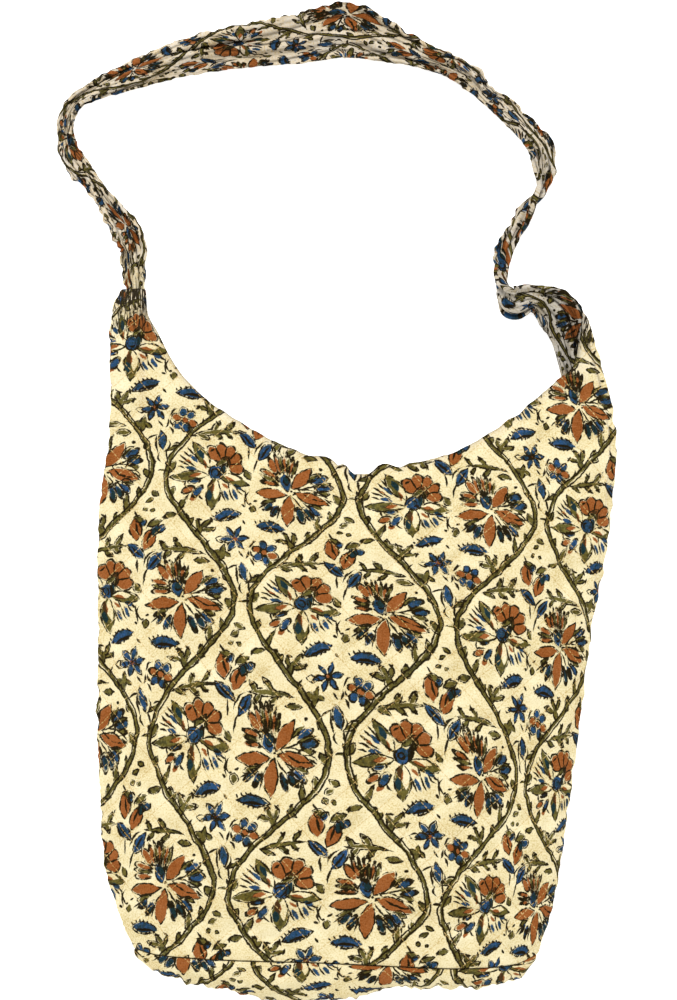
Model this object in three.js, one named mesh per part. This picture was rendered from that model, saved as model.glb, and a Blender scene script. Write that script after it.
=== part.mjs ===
// A quilted cotton shoulder bag lying on its back: the front panel faces up and the strap is laid out
// above the mouth. Millimetres, +Z up, the surface that it lies on is z = 0, and +Y runs from the base
// to the strap.
import * as THREE from "three";

// Cloth
const PANEL_WALL = 2.4; // two cloths with a thin quilted filling
const STRAP_WALL = 1.6; // two cloths
const SEAM_GAP = 0.3; // between pieces that are sewn to each other
const BASE_GAP = 0.7; // between the base and the panels, whose curved seam needs a little more

// How the panels leave the side seams: a higher power is a flatter, sharper edge
const LEFT_EDGE_POWER = 1.4;
const RIGHT_EDGE_POWER = 0.8;
const BACK_EDGE_POWER = 0.6;
const BACK_PRESS = 4; // how far the back would sag below the surface that presses it flat
const EDGE_ROUND = 4; // width of the rounded fold along a side seam

// How finely the cloth is faceted
const PANEL_COLUMNS = 28;
const PANEL_ROWS = 18;
const BASE_ROWS = 5;
const STRAP_COLUMNS = 12;
const STRAP_ROWS = 80;

// The body from the base seam up to the horns: its left and right outline, the crown of the front
// panel's inside above the side seams, and the height of each side seam.
const BODY = [
  { y: -328, left: -136, right: 134, crown: 33, leftSeam: 7, rightSeam: 9 },
  { y: -313, left: -144, right: 142, crown: 36, leftSeam: 7, rightSeam: 10 },
  { y: -287, left: -154, right: 150, crown: 39, leftSeam: 7, rightSeam: 11 },
  { y: -252, left: -164, right: 157, crown: 42, leftSeam: 6, rightSeam: 12 },
  { y: -196, left: -167, right: 164.5, crown: 43, leftSeam: 6, rightSeam: 13 },
  { y: -160, left: -168.5, right: 169, crown: 42, leftSeam: 6, rightSeam: 14 },
  { y: -84, left: -167.8, right: 179, crown: 40, leftSeam: 6, rightSeam: 14 },
  { y: -42, left: -168.3, right: 187.5, crown: 37, leftSeam: 6, rightSeam: 13 },
  { y: 0, left: -166.6, right: 193, crown: 32, leftSeam: 6, rightSeam: 12 },
  { y: 39, left: -161, right: 196, crown: 25, leftSeam: 6, rightSeam: 10 },
  { y: 70, left: -159.5, right: 192, crown: 19, leftSeam: 6, rightSeam: 8 },
  { y: 112, left: -160, right: 181, crown: 13, leftSeam: 5, rightSeam: 7 },
  { y: 126, left: -159.5, right: 176.5, crown: 11.5, leftSeam: 5, rightSeam: 6 },
  { y: 138, left: -156.5, right: 171, crown: 11, leftSeam: 5, rightSeam: 6 },
  { y: 150, left: -152.5, right: 164, crown: 11, leftSeam: 5, rightSeam: 6 },
];

// The panels' bottom edge and how far the base panel bulges past it, from the left seam to the right
const BASE_SEAM = [
  { across: 0, y: -314, bulge: 4 },
  { across: 0.05, y: -317, bulge: 11 },
  { across: 0.2, y: -318.5, bulge: 19 },
  { across: 0.42, y: -319, bulge: 28.6 },
  { across: 0.55, y: -320.5, bulge: 21.8 },
  { across: 0.65, y: -322, bulge: 14.5 },
  { across: 0.85, y: -324.5, bulge: 12.5 },
  { across: 0.96, y: -323, bulge: 11 },
  { across: 1, y: -317, bulge: 4 },
];

// The panels' top edge: the left horn, the scooped neckline and the point of the right horn
const NECKLINE = [
  { across: 0, y: 148 },
  { across: 0.052, y: 148 },
  { across: 0.072, y: 131.5 },
  { across: 0.101, y: 114 },
  { across: 0.131, y: 93.5 },
  { across: 0.185, y: 72 },
  { across: 0.253, y: 55.5 },
  { across: 0.339, y: 39 },
  { across: 0.5, y: 21.2 },
  { across: 0.65, y: 29.5 },
  { across: 0.79, y: 55 },
  { across: 0.893, y: 81 },
  { across: 0.948, y: 95 },
  { across: 0.968, y: 108.5 },
  { across: 0.987, y: 122.5 },
  { across: 1, y: 138 },
];
const BACK_NECKLINE_DROP = 3; // the back's edge lies this far inside the front's

// Soft folds of the front panel: middle, direction, half length, half width and height
const FOLDS = [
  { x: -118, y: 52, degrees: -68, length: 70, width: 13, height: 2.5 },
  { x: 148, y: -70, degrees: 84, length: 110, width: 12, height: -2.5 },
  { x: 96, y: -150, degrees: 72, length: 120, width: 17, height: 2 },
  { x: -105, y: -190, degrees: 96, length: 110, width: 20, height: -2 },
  { x: -10, y: -296, degrees: 2, length: 110, width: 15, height: -3 },
  { x: 10, y: -40, degrees: 12, length: 110, width: 22, height: 1.8 },
];

// The strap from the left horn round to the right one: the middle of each section, the width that the
// cloth has when it is flat, the width that it is gathered into, the height of its lowest point and its roll.
const STRAP = [
  { x: -141.5, y: 134, flat: 15, span: 12.5, lift: 2.8, roll: 0 },
  { x: -141.5, y: 149, flat: 15.5, span: 13, lift: 2.8, roll: 0 },
  { x: -142.5, y: 158, flat: 27, span: 17, lift: 1, roll: 0 },
  { x: -143, y: 167, flat: 36, span: 16.5, lift: 0, roll: 5 },
  { x: -142.5, y: 176, flat: 42, span: 17.5, lift: 0, roll: 8 },
  { x: -147, y: 187, flat: 42, span: 20, lift: 0, roll: 5 },
  { x: -155, y: 199, flat: 38, span: 15, lift: 0, roll: 0 },
  { x: -165, y: 212.5, flat: 23, span: 8, lift: 0, roll: -10 },
  { x: -173.5, y: 224, flat: 22, span: 7.5, lift: 0, roll: -15 },
  { x: -182.3, y: 234.5, flat: 30, span: 11.5, lift: 0, roll: -5 },
  { x: -188.3, y: 245.3, flat: 28, span: 10.5, lift: 0, roll: 5 },
  { x: -190.5, y: 262, flat: 23, span: 8.5, lift: 0, roll: 12 },
  { x: -187.5, y: 274.5, flat: 22, span: 8, lift: 0, roll: 12 },
  { x: -180.5, y: 282.2, flat: 23, span: 8, lift: 0, roll: 10 },
  { x: -159.5, y: 292.3, flat: 35, span: 12.5, lift: 0, roll: 5 },
  { x: -131.3, y: 303.6, flat: 42, span: 20.5, lift: 0, roll: 0 },
  { x: -96.2, y: 313.6, flat: 42, span: 26.5, lift: 0, roll: 0 },
  { x: -61, y: 319.4, flat: 42, span: 30.5, lift: 0, roll: 0 },
  { x: -26, y: 324, flat: 42, span: 35, lift: 0, roll: 0 },
  { x: 6, y: 330, flat: 42, span: 39, lift: 0, roll: 0 },
  { x: 34, y: 321.5, flat: 42, span: 29, lift: 0, roll: -4 },
  { x: 58.5, y: 312.3, flat: 42, span: 18.5, lift: 0, roll: -8 },
  { x: 80.5, y: 304, flat: 34, span: 12, lift: 0, roll: -8 },
  { x: 94, y: 296, flat: 34, span: 12.5, lift: 0, roll: -10 },
  { x: 103.5, y: 286, flat: 21, span: 7.5, lift: 0, roll: -12 },
  { x: 118, y: 275, flat: 27, span: 9.5, lift: 0, roll: -6 },
  { x: 135, y: 258, flat: 31, span: 10.5, lift: 0, roll: 0 },
  { x: 143.5, y: 246.5, flat: 40, span: 15, lift: 0, roll: 0 },
  { x: 145.5, y: 232.5, flat: 38, span: 13.5, lift: 0, roll: 15 },
  { x: 143.5, y: 219, flat: 24, span: 8.5, lift: 0, roll: 50 },
  { x: 134.5, y: 206, flat: 32, span: 11.5, lift: 0, roll: 100 },
  { x: 125.5, y: 190.5, flat: 25, span: 9, lift: 0, roll: 150 },
  { x: 120, y: 180, flat: 22, span: 8, lift: 0, roll: 190 },
  { x: 115.5, y: 167, flat: 25, span: 9, lift: 0, roll: 230 },
  { x: 115, y: 155, flat: 32, span: 11, lift: 0, roll: 262 },
  { x: 117.5, y: 145.5, flat: 40, span: 17, lift: 0, roll: 292 },
  { x: 123, y: 138.5, flat: 42, span: 26, lift: 0.5, roll: 325 },
  { x: 137, y: 141.5, flat: 40, span: 19, lift: 2, roll: 345 },
  { x: 151, y: 133, flat: 40, span: 29, lift: 2.8, roll: 355 },
  { x: 159.5, y: 118.5, flat: 34, span: 26, lift: 2.8, roll: 360 },
  { x: 165.5, y: 103, flat: 30, span: 24, lift: 2.8, roll: 360 },
  { x: 169.5, y: 86, flat: 27, span: 23, lift: 2.8, roll: 360 },
];

// The gathers of the strap: two waves across the cloth, whose places drift along it
const GATHERS = [
  { waves: 2, share: 0.8, drift: 2.2, start: 0.4 },
  { waves: 3.3, share: 0.4, drift: -3.1, start: 1.9 },
];
const GATHER_STEPS = 8; // steps of the section's curve in each facet
const MOST_SWING = 1.8; // the steepest that a gather may stand, in radians
const HALVINGS = 24; // rounds of the search for a section's swing
const SLOPE_STEP = 0.002; // share of the way across over which the slope of a wall is read

// Value of one column of a table at a place on its key column: smooth, with no overshoot
function valueAt(table, key, column, place) {
  const last = table.length - 1;
  const inside = THREE.MathUtils.clamp(place, table[0][key], table[last][key]);
  let i = 0;
  while (i < last - 1 && table[i + 1][key] < inside) i += 1;
  const slope = (k) => (table[k + 1][column] - table[k][column]) / (table[k + 1][key] - table[k][key]);
  const tangent = (k) => {
    if (k === 0) return slope(0);
    if (k === last) return slope(last - 1);
    const before = slope(k - 1);
    const after = slope(k);
    return before * after <= 0 ? 0 : (2 * before * after) / (before + after);
  };
  const width = table[i + 1][key] - table[i][key];
  const t = (inside - table[i][key]) / width;
  const a = table[i][column];
  const b = table[i + 1][column];
  const bend = (tangent(i) * (1 - t) - tangent(i + 1) * t) * width;
  return a + (b - a) * t * t * (3 - 2 * t) + t * (1 - t) * bend;
}

// A closed sheet of cloth from its two faces, each a function of column and row, joined along their edges
function clothGeometry(columns, rows, face, reverse) {
  const positions = [];
  for (const side of [face, reverse]) {
    for (let row = 0; row <= rows; row += 1) {
      for (let column = 0; column <= columns; column += 1) {
        positions.push(...side(column, row).toArray());
      }
    }
  }
  const layer = (columns + 1) * (rows + 1);
  const corner = (column, row) => row * (columns + 1) + column;
  const index = [];
  const quad = (a, b, c, d) => index.push(a, b, c, a, c, d);
  for (let row = 0; row < rows; row += 1) {
    for (let column = 0; column < columns; column += 1) {
      const a = corner(column, row);
      const b = corner(column + 1, row);
      const c = corner(column + 1, row + 1);
      const d = corner(column, row + 1);
      quad(a, b, c, d);
      quad(layer + d, layer + c, layer + b, layer + a);
    }
  }
  const rim = [];
  for (let column = 0; column < columns; column += 1) rim.push(corner(column, 0));
  for (let row = 0; row < rows; row += 1) rim.push(corner(columns, row));
  for (let column = columns; column > 0; column -= 1) rim.push(corner(column, rows));
  for (let row = rows; row > 0; row -= 1) rim.push(corner(0, row));
  rim.forEach((from, i) => {
    const to = rim[(i + 1) % rim.length];
    quad(from, layer + from, layer + to, to);
  });
  const geometry = new THREE.BufferGeometry();
  geometry.setAttribute("position", new THREE.Float32BufferAttribute(positions, 3));
  geometry.setIndex(index);
  geometry.computeVertexNormals();
  return geometry;
}

// Share of the way across a panel at a column: the columns crowd towards the side seams
const acrossAt = (column) => (1 - Math.cos((Math.PI * column) / PANEL_COLUMNS)) / 2;

// How far the section has left the side seams, from 0 at a seam to 1 at the crown
const crownShare = (across, power) => (2 * Math.sqrt(across * (1 - across))) ** power;

function seamHeight(across, y) {
  const left = valueAt(BODY, "y", "leftSeam", y);
  const right = valueAt(BODY, "y", "rightSeam", y);
  return THREE.MathUtils.lerp(left, right, across);
}

function insideX(across, y) {
  const left = valueAt(BODY, "y", "left", y) + PANEL_WALL;
  const right = valueAt(BODY, "y", "right", y) - PANEL_WALL;
  return THREE.MathUtils.lerp(left, right, across);
}

function foldHeight(x, y) {
  let height = 0;
  for (const fold of FOLDS) {
    const angle = THREE.MathUtils.degToRad(fold.degrees);
    const along = (x - fold.x) * Math.cos(angle) + (y - fold.y) * Math.sin(angle);
    const beside = (y - fold.y) * Math.cos(angle) - (x - fold.x) * Math.sin(angle);
    height += fold.height * Math.exp(-((along / fold.length) ** 2) - (beside / fold.width) ** 2);
  }
  return height;
}

// Inside of the front panel: it rises from the side seams to its crown
function frontInside(across, y) {
  const power = THREE.MathUtils.lerp(LEFT_EDGE_POWER, RIGHT_EDGE_POWER, across);
  const share = crownShare(across, power);
  const x = insideX(across, y);
  const crown = valueAt(BODY, "y", "crown", y) + foldHeight(x, y);
  return new THREE.Vector3(x, y, seamHeight(across, y) + SEAM_GAP / 2 + crown * share);
}

// Inside of the back panel: it drops from the side seams until it lies flat
function backInside(across, y) {
  const seam = seamHeight(across, y);
  const drop = (seam + BACK_PRESS) * crownShare(across, BACK_EDGE_POWER);
  return new THREE.Vector3(insideX(across, y), y, Math.max(PANEL_WALL, seam - SEAM_GAP / 2 - drop));
}

// Way from the inside of a wall to its outside: square to the cloth, and turned sideways at a side seam
function wallDirection(across, square, y) {
  const fromSeam = Math.min(across, 1 - across) * (insideX(1, y) - insideX(0, y));
  const lean = Math.max(0, 1 - fromSeam / EDGE_ROUND) ** 2 * (Math.PI / 2);
  const sideways = new THREE.Vector3(across < 0.5 ? -1 : 1, 0, 0);
  return square.clone().multiplyScalar(Math.cos(lean)).addScaledVector(sideways, Math.sin(lean));
}

// Outside of a panel, on the side that `up` gives: 1 over the inside, -1 under it
function panelOutside(inside, across, y, up) {
  const before = inside(Math.max(0, across - SLOPE_STEP), y);
  const after = inside(Math.min(1, across + SLOPE_STEP), y);
  const square = new THREE.Vector3(before.z - after.z, 0, after.x - before.x).normalize().multiplyScalar(up);
  return inside(across, y).addScaledVector(wallDirection(across, square, y), PANEL_WALL);
}

// Height on the page of a row of a panel, between the base seam and the top edge less `drop`
function panelY(across, row, drop) {
  const bottom = valueAt(BASE_SEAM, "across", "y", across);
  const top = valueAt(NECKLINE, "across", "y", across) - drop;
  return THREE.MathUtils.lerp(bottom, top, row / PANEL_ROWS);
}

function frontPanelGeometry() {
  const place = (column, row) => [acrossAt(column), panelY(acrossAt(column), row, 0)];
  const outside = (column, row) => {
    const [across, y] = place(column, row);
    return panelOutside(frontInside, across, y, 1);
  };
  const inside = (column, row) => frontInside(...place(column, row));
  return clothGeometry(PANEL_COLUMNS, PANEL_ROWS, outside, inside);
}

function backPanelGeometry() {
  const place = (column, row) => [acrossAt(column), panelY(acrossAt(column), row, BACK_NECKLINE_DROP)];
  const outside = (column, row) => {
    const [across, y] = place(column, row);
    return panelOutside(backInside, across, y, -1);
  };
  const inside = (column, row) => backInside(...place(column, row));
  return clothGeometry(PANEL_COLUMNS, PANEL_ROWS, inside, outside);
}

// The base panel bulges from the front's bottom edge round to the back's, in half ellipses
function basePanelGeometry() {
  const wall = (column, row, thickness) => {
    const across = acrossAt(column);
    const seamY = valueAt(BASE_SEAM, "across", "y", across);
    const top = frontInside(across, seamY);
    const bottom = backInside(across, seamY);
    const bulge = valueAt(BASE_SEAM, "across", "bulge", across);
    const halfHeight = (top.z - bottom.z) / 2;
    const angle = (Math.PI * row) / BASE_ROWS;
    const y = seamY - BASE_GAP - bulge * Math.sin(angle);
    const z = bottom.z + halfHeight * (1 + Math.cos(angle));
    const square = new THREE.Vector3(0, -halfHeight * Math.sin(angle), bulge * Math.cos(angle)).normalize();
    return new THREE.Vector3(top.x, y, z).addScaledVector(wallDirection(across, square, seamY), thickness);
  };
  const inside = (column, row) => wall(column, row, 0);
  const outside = (column, row) => wall(column, row, PANEL_WALL);
  return clothGeometry(PANEL_COLUMNS, BASE_ROWS, inside, outside);
}

// Middle of the strap's cloth across one section, as it swings up and down in its gathers
function gatheredLine(flat, swing, along) {
  const step = flat / (STRAP_COLUMNS * GATHER_STEPS);
  const points = [];
  let across = 0;
  let height = 0;
  for (let i = 0; i <= STRAP_COLUMNS * GATHER_STEPS; i += 1) {
    const share = i / (STRAP_COLUMNS * GATHER_STEPS);
    const wave = (g) => g.share * Math.sin(2 * Math.PI * (g.waves * share + g.start + g.drift * along));
    const tilt = swing * GATHERS.reduce((sum, gather) => sum + wave(gather), 0);
    if (i % GATHER_STEPS === 0) points.push({ across, height, tilt });
    across += step * Math.cos(tilt);
    height += step * Math.sin(tilt);
  }
  return points;
}

const lineWidth = (line) => {
  const places = line.map((point) => point.across);
  return Math.max(...places) - Math.min(...places);
};

// The swing that gathers cloth of a flat width into a span, found by halving
function swingFor(flat, span, along) {
  let low = 0;
  let high = MOST_SWING;
  for (let i = 0; i < HALVINGS; i += 1) {
    const middle = (low + high) / 2;
    if (lineWidth(gatheredLine(flat, middle, along)) > span) low = middle;
    else high = middle;
  }
  return (low + high) / 2;
}

// One section of the strap, standing across its route with its lowest point at the section's lift
function strapSection(route, rowTable, row) {
  const along = row / STRAP_ROWS;
  const place = along * (STRAP.length - 1);
  const value = (column) => valueAt(rowTable, "station", column, place);
  const flat = value("flat");
  const line = gatheredLine(flat, swingFor(flat, value("span"), along), along);
  const roll = THREE.MathUtils.degToRad(value("roll"));
  const turned = line.map(({ across, height, tilt }) => ({
    across: across * Math.cos(roll) - height * Math.sin(roll),
    height: across * Math.sin(roll) + height * Math.cos(roll),
    tilt: tilt + roll,
  }));
  const places = turned.map((point) => point.across);
  const middle = (Math.min(...places) + Math.max(...places)) / 2;
  const lowest = Math.min(...turned.map((point) => point.height));
  const centre = route.getPoint(along);
  const heading = route.getTangent(along);
  const sideways = new THREE.Vector3(heading.y, -heading.x, 0).normalize();
  const base = value("lift") + STRAP_WALL / 2 - lowest;
  return turned.map((point) => ({
    middle: centre.clone().addScaledVector(sideways, point.across - middle).setZ(base + point.height),
    square: sideways.clone().multiplyScalar(-Math.sin(point.tilt)).setZ(Math.cos(point.tilt)),
  }));
}

function strapGeometry() {
  const route = new THREE.CatmullRomCurve3(STRAP.map(({ x, y }) => new THREE.Vector3(x, y, 0)));
  const rowTable = STRAP.map((station, i) => ({ ...station, station: i }));
  const sections = [];
  for (let row = 0; row <= STRAP_ROWS; row += 1) sections.push(strapSection(route, rowTable, row));
  const face = (side) => (column, row) => {
    const { middle, square } = sections[row][column];
    return middle.clone().addScaledVector(square, (side * STRAP_WALL) / 2);
  };
  return clothGeometry(STRAP_COLUMNS, STRAP_ROWS, face(1), face(-1));
}

function printedCotton(colour) {
  return new THREE.MeshStandardMaterial({ color: colour, roughness: 0.9, metalness: 0 });
}

function namedMesh(name, geometry, material) {
  const mesh = new THREE.Mesh(geometry, material);
  mesh.name = name;
  return mesh;
}

const bodyCotton = printedCotton(0xd9c595);
const strapCotton = printedCotton(0xc9bda6);

const bag = new THREE.Group();
bag.add(namedMesh("front_panel", frontPanelGeometry(), bodyCotton));
bag.add(namedMesh("back_panel", backPanelGeometry(), bodyCotton));
bag.add(namedMesh("base_panel", basePanelGeometry(), bodyCotton));
bag.add(namedMesh("strap", strapGeometry(), strapCotton));

export default bag;
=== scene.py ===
"""Dresses a quilted cotton shoulder bag that lies on its back: cloth, print, quilting, light and camera.

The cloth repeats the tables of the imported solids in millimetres, and its meshes are made in metres.
"""

import math

import bpy
import numpy as np
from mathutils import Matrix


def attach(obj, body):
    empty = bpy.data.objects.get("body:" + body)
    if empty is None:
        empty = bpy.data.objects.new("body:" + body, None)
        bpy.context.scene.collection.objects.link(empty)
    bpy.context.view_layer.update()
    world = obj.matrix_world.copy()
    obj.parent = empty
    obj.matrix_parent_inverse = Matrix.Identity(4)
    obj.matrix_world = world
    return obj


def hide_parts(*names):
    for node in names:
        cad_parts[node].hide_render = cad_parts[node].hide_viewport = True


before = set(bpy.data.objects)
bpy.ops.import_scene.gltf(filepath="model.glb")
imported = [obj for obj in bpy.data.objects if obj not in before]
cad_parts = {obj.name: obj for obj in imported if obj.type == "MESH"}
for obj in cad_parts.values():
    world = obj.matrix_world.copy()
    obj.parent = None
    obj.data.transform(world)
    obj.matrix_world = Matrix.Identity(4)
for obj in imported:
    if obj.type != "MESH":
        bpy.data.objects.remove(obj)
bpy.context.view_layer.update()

MM = 0.001

# The camera looks straight down; the photo's frame covers this much of the plane of the bag's outline
VIEW_HEIGHT = 0.700
VIEW_DISTANCE = 2.3
OUTLINE_LEVEL = 0.012
VIEW_MIDDLE = (0.00105, 0.0)


class Table:
    """Rows of numbers under named columns, read smoothly and with no overshoot between the rows."""

    def __init__(self, names, rows):
        self.columns = dict(zip(names, np.array(rows, dtype=float).T))

    def at(self, key, name, place):
        keys = self.columns[key]
        values = self.columns[name]
        slopes = np.diff(values) / np.diff(keys)
        product = slopes[:-1] * slopes[1:]
        rising = product > 0
        total = np.where(rising, slopes[:-1] + slopes[1:], 1)
        between = np.where(rising, 2 * product / total, 0)
        tangents = np.concatenate([slopes[:1], between, slopes[-1:]])
        inside = np.clip(place, keys[0], keys[-1])
        i = np.clip(np.searchsorted(keys, inside) - 1, 0, len(keys) - 2)
        width = keys[i + 1] - keys[i]
        t = (inside - keys[i]) / width
        bend = (tangents[i] * (1 - t) - tangents[i + 1] * t) * width
        return values[i] + (values[i + 1] - values[i]) * t * t * (3 - 2 * t) + t * (1 - t) * bend


# Cloth, as in the solids
PANEL_WALL = 2.4
STRAP_WALL = 1.6
SEAM_GAP = 0.3
BASE_GAP = 0.7
LEFT_EDGE_POWER = 1.4
RIGHT_EDGE_POWER = 0.8
BACK_EDGE_POWER = 0.6
BACK_PRESS = 4
EDGE_ROUND = 4
BACK_NECKLINE_DROP = 3
SLOPE_STEP = 0.002

# How finely the cloth is meshed
PANEL_COLUMNS = 180
PANEL_ROWS = 190
BASE_ROWS = 36
STRAP_COLUMNS = 62
STRAP_ROWS = 760
RIM_STEPS = (2.0, 1.2, 0.7, 0.35, 0.12, 0.0)  # distances of the last rows from a panel's top edge
RIM_THINNEST = 0.12  # share of the wall that is left at a rounded rim

# How the hem of the front stands over its even edge at the middle of the neckline, where it is ragged
NECK_FRAY = [
    (-24, 0), (-15.8, 1.7), (-10.7, 3), (-5.5, 4.6), (-2.1, 3.4), (0.5, 0.8), (3.9, 2.2), (7.3, 1),
    (11.5, -3.2), (23.6, -3.6), (27, 1.8), (30.5, 3), (34.7, 2.4), (42.4, -0.8), (52, 0),
]
BODY = Table(
    ("y", "left", "right", "crown", "left_seam", "right_seam"),
    [
        (-328, -136, 134, 33, 7, 9), (-313, -144, 142, 36, 7, 10), (-287, -154, 150, 39, 7, 11),
        (-252, -164, 157, 42, 6, 12), (-196, -167, 164.5, 43, 6, 13), (-160, -168.5, 169, 42, 6, 14),
        (-84, -167.8, 179, 40, 6, 14), (-42, -168.3, 187.5, 37, 6, 13), (0, -166.6, 193, 32, 6, 12),
        (39, -161, 196, 25, 6, 10), (70, -159.5, 192, 19, 6, 8), (112, -160, 181, 13, 5, 7),
        (126, -159.5, 176.5, 11.5, 5, 6), (138, -156.5, 171, 11, 5, 6), (150, -152.5, 164, 11, 5, 6),
    ],
)
BASE_SEAM = Table(
    ("across", "y", "bulge"),
    [
        (0, -314, 4), (0.05, -317, 11), (0.2, -318.5, 19), (0.42, -319, 28.6), (0.55, -320.5, 21.8),
        (0.65, -322, 14.5), (0.85, -324.5, 12.5), (0.96, -323, 11), (1, -317, 4),
    ],
)
NECKLINE = Table(
    ("across", "y"),
    [
        (0, 148), (0.052, 148), (0.072, 131.5), (0.101, 114), (0.131, 93.5), (0.185, 72), (0.253, 55.5),
        (0.339, 39), (0.5, 21.2), (0.65, 29.5), (0.79, 55), (0.893, 81), (0.948, 95), (0.968, 108.5),
        (0.987, 122.5), (1, 138),
    ],
)
# Soft folds of the front panel: middle, direction in degrees, half length, half width and height
FOLDS = [
    (-118, 52, -68, 70, 13, 2.5), (148, -70, 84, 110, 12, -2.5), (96, -150, 72, 120, 17, 2),
    (-105, -190, 96, 110, 20, -2), (-10, -296, 2, 110, 15, -3), (10, -40, 12, 110, 22, 1.8),
]
# The strap's sections from the left horn to the right one: middle, width of the flat cloth, width that
# it is gathered into, height of the lowest point and roll in degrees; the band under the right horn lies a
# little further out than the solid's
STRAP_ROUTE = [
    (-141.5, 134, 15, 12.5, 2.8, 0), (-141.5, 149, 15.5, 13, 2.8, 0), (-142.5, 158, 27, 17, 1, 0),
    (-143, 167, 36, 16.5, 0, 5), (-142.5, 176, 42, 17.5, 0, 8), (-147, 187, 42, 20, 0, 5),
    (-155, 199, 38, 15, 0, 0), (-165, 212.5, 23, 8, 0, -10), (-173.5, 224, 22, 7.5, 0, -15),
    (-182.3, 234.5, 30, 11.5, 0, -5), (-188.3, 245.3, 28, 10.5, 0, 5), (-190.5, 262, 23, 8.5, 0, 12),
    (-187.5, 274.5, 22, 8, 0, 12), (-180.5, 282.2, 23, 8, 0, 10), (-159.5, 292.3, 35, 12.5, 0, 5),
    (-131.3, 303.6, 42, 20.5, 0, 0), (-96.2, 313.6, 42, 26.5, 0, 0), (-61, 319.4, 42, 30.5, 0, 0),
    (-26, 324, 42, 35, 0, 0), (6, 330, 42, 39, 0, 0), (34, 321.5, 42, 29, 0, -4),
    (58.5, 312.3, 42, 18.5, 0, -8), (80.5, 304, 34, 12, 0, -8), (94, 296, 34, 12.5, 0, -10),
    (103.5, 286, 21, 7.5, 0, -12), (118, 275, 27, 9.5, 0, -6), (135, 258, 31, 10.5, 0, 0),
    (143.5, 246.5, 40, 15, 0, 0), (145.5, 232.5, 38, 13.5, 0, 15), (143.5, 219, 24, 8.5, 0, 50),
    (134.5, 206, 32, 11.5, 0, 100), (125.5, 190.5, 25, 9, 0, 150), (120, 180, 22, 8, 0, 190),
    (115.5, 167, 25, 9, 0, 230), (115, 155, 32, 11, 0, 262), (117.5, 145.5, 40, 17, 0, 292),
    (123, 138.5, 42, 26, 0.5, 325), (137, 141.5, 40, 19, 2, 345), (154, 132.5, 40, 31, 2.8, 355),
    (162, 118.5, 36, 28, 2.8, 360), (165.5, 103, 30, 24, 2.8, 360), (169.5, 86, 27, 23, 2.8, 360),
]
STRAP = Table(
    ("station", "x", "y", "flat", "span", "lift", "roll"),
    [(station, *row) for station, row in enumerate(STRAP_ROUTE)],
)
GATHERS = [(2, 0.8, 2.2, 0.4), (3.3, 0.4, -3.1, 1.9)]  # waves across, share, drift along, start
GATHER_STEPS = 5
ROUTE_STEP = 1e-4  # share of the route over which its heading is read
MOST_SWING = 1.8
HALVINGS = 24
STRAP_PRINT = 84.0  # width of the print that the strap's fine pleats press together
STRAP_MOST_SQUEEZE = 5.0
STRAP_PRINT_SHIFT = (45.0, 181.0)
STRAP_PRINT_PACE = 1.25  # how much of the print's length its gathers take up
STRAP_LOOSE = 34.0  # spans of a strap that shows few gathers, and of one that is all gathers
STRAP_TIGHT = 6.0
STRAP_LEAST_GATHER = 0.6
STRAP_KNOT_GATHER = 0.85  # under the right horn
STRAP_KNOT_SQUEEZE = -0.48
STRAP_KNOT_SHIFT = (-37.0, 38.0)  # of the print, below the twist
STRAP_KNOT_START = (31.0, 33.0)  # stations between which the print shifts
STRAP_TWIST = (29.0, 35.0)  # stations between which the strap turns over, where it is plainer and its painted shade is lighter
STRAP_TWIST_EASE = 0.4
PLEAT_FLAT = 0.15
# Fine pleats along the strap: waves across, share of the rise, wander, and length of a wander's wave
PLEATS = [(5.0, 0.6, 2.4, 43.0), (8.3, 0.5, 3.4, 29.0)]
PLEAT_RISE = 0.35
SECOND_WANDER = (0.6, 2.7)  # share and pace of a second wave in each wander
# Ruffled edges: longest and shortest wave, and reach
RUFFLE = (26.0, 4.5, 1.0)
RUFFLE_WAVES = 14
RUFFLE_SEED = 11
# Each edge draws its own waves
OUTER_EDGE, INNER_EDGE, LEFT_SEAM, RIGHT_SEAM, NECK_EDGE, BASE_EDGE = range(6)
STRAP_RIPPLE = (0.75, 0.3)  # at the strap's outer and inner edges
STRAP_RIPPLE_POWER = 3
SEAM_RIPPLE = 0.5
NECK_RIPPLE = 0.4
SEAM_RIPPLE_REACH = 14.0
NECK_CALM = 1 / 12  # share across, from a horn's outer edge, over which the neckline's ripple sets in
# Distances from an edge, or from the floor, over which the crinkles set in
PANEL_CALM = 12.0
BACK_CALM = 2.0
BASE_CALM = 8.0
BASE_FLOOR_CALM = 3.0
STRAP_BLEND = 45.0  # length at the left horn over which the body's ground turns to the strap's, which is greyed by painted shade
STRAP_GREY_SHADE = (430.0, 620.0)  # lengths between which painted shade greys the strap's ground further
STRAP_SHADOW = (655.0, 685.0)  # lengths between which a painted shadow darkens it under the right horn
# how dark that painted shadow is
STRAP_SHADOW_DEPTH = 0.2
STRAP_CALM = (20.0, 60.0)  # lengths at both ends over which pleats and ruffles set in

# Quilting: stitched lines in two directions, in millimetres of flat cloth
QUILT_PITCH = 24.5
QUILT_RISING = (40.0, 9.1, -100.6)  # direction in degrees, and a point on one line
QUILT_FALLING = (-48.0, 38.3, -112.6)
QUILT_PUFF = 0.75  # how far the cloth stands proud between the lines
QUILT_REACH = 3.4  # how far from a line the cloth is pulled in

# Sharp creases of the front panel, as the folds are given
CREASES = [
    (152, -130, 84, 60, 2.2, -0.9), (159, -190, 86, 50, 2, -0.8), (146, -215, 82, 45, 2.4, -0.9),
    (164, -90, 80, 40, 2, -0.7), (140, -270, 70, 30, 2.2, -0.8), (-158, -100, 88, 50, 2.2, -0.7),
    (-148, -250, 100, 40, 2.4, -0.8), (-60, -305, 8, 40, 2.2, -0.8), (100, -306, 6, 35, 2.2, -0.7),
    (-92, 60, -40, 26, 2.4, -0.8), (150, 60, 62, 26, 2.4, -0.8),
]
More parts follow.
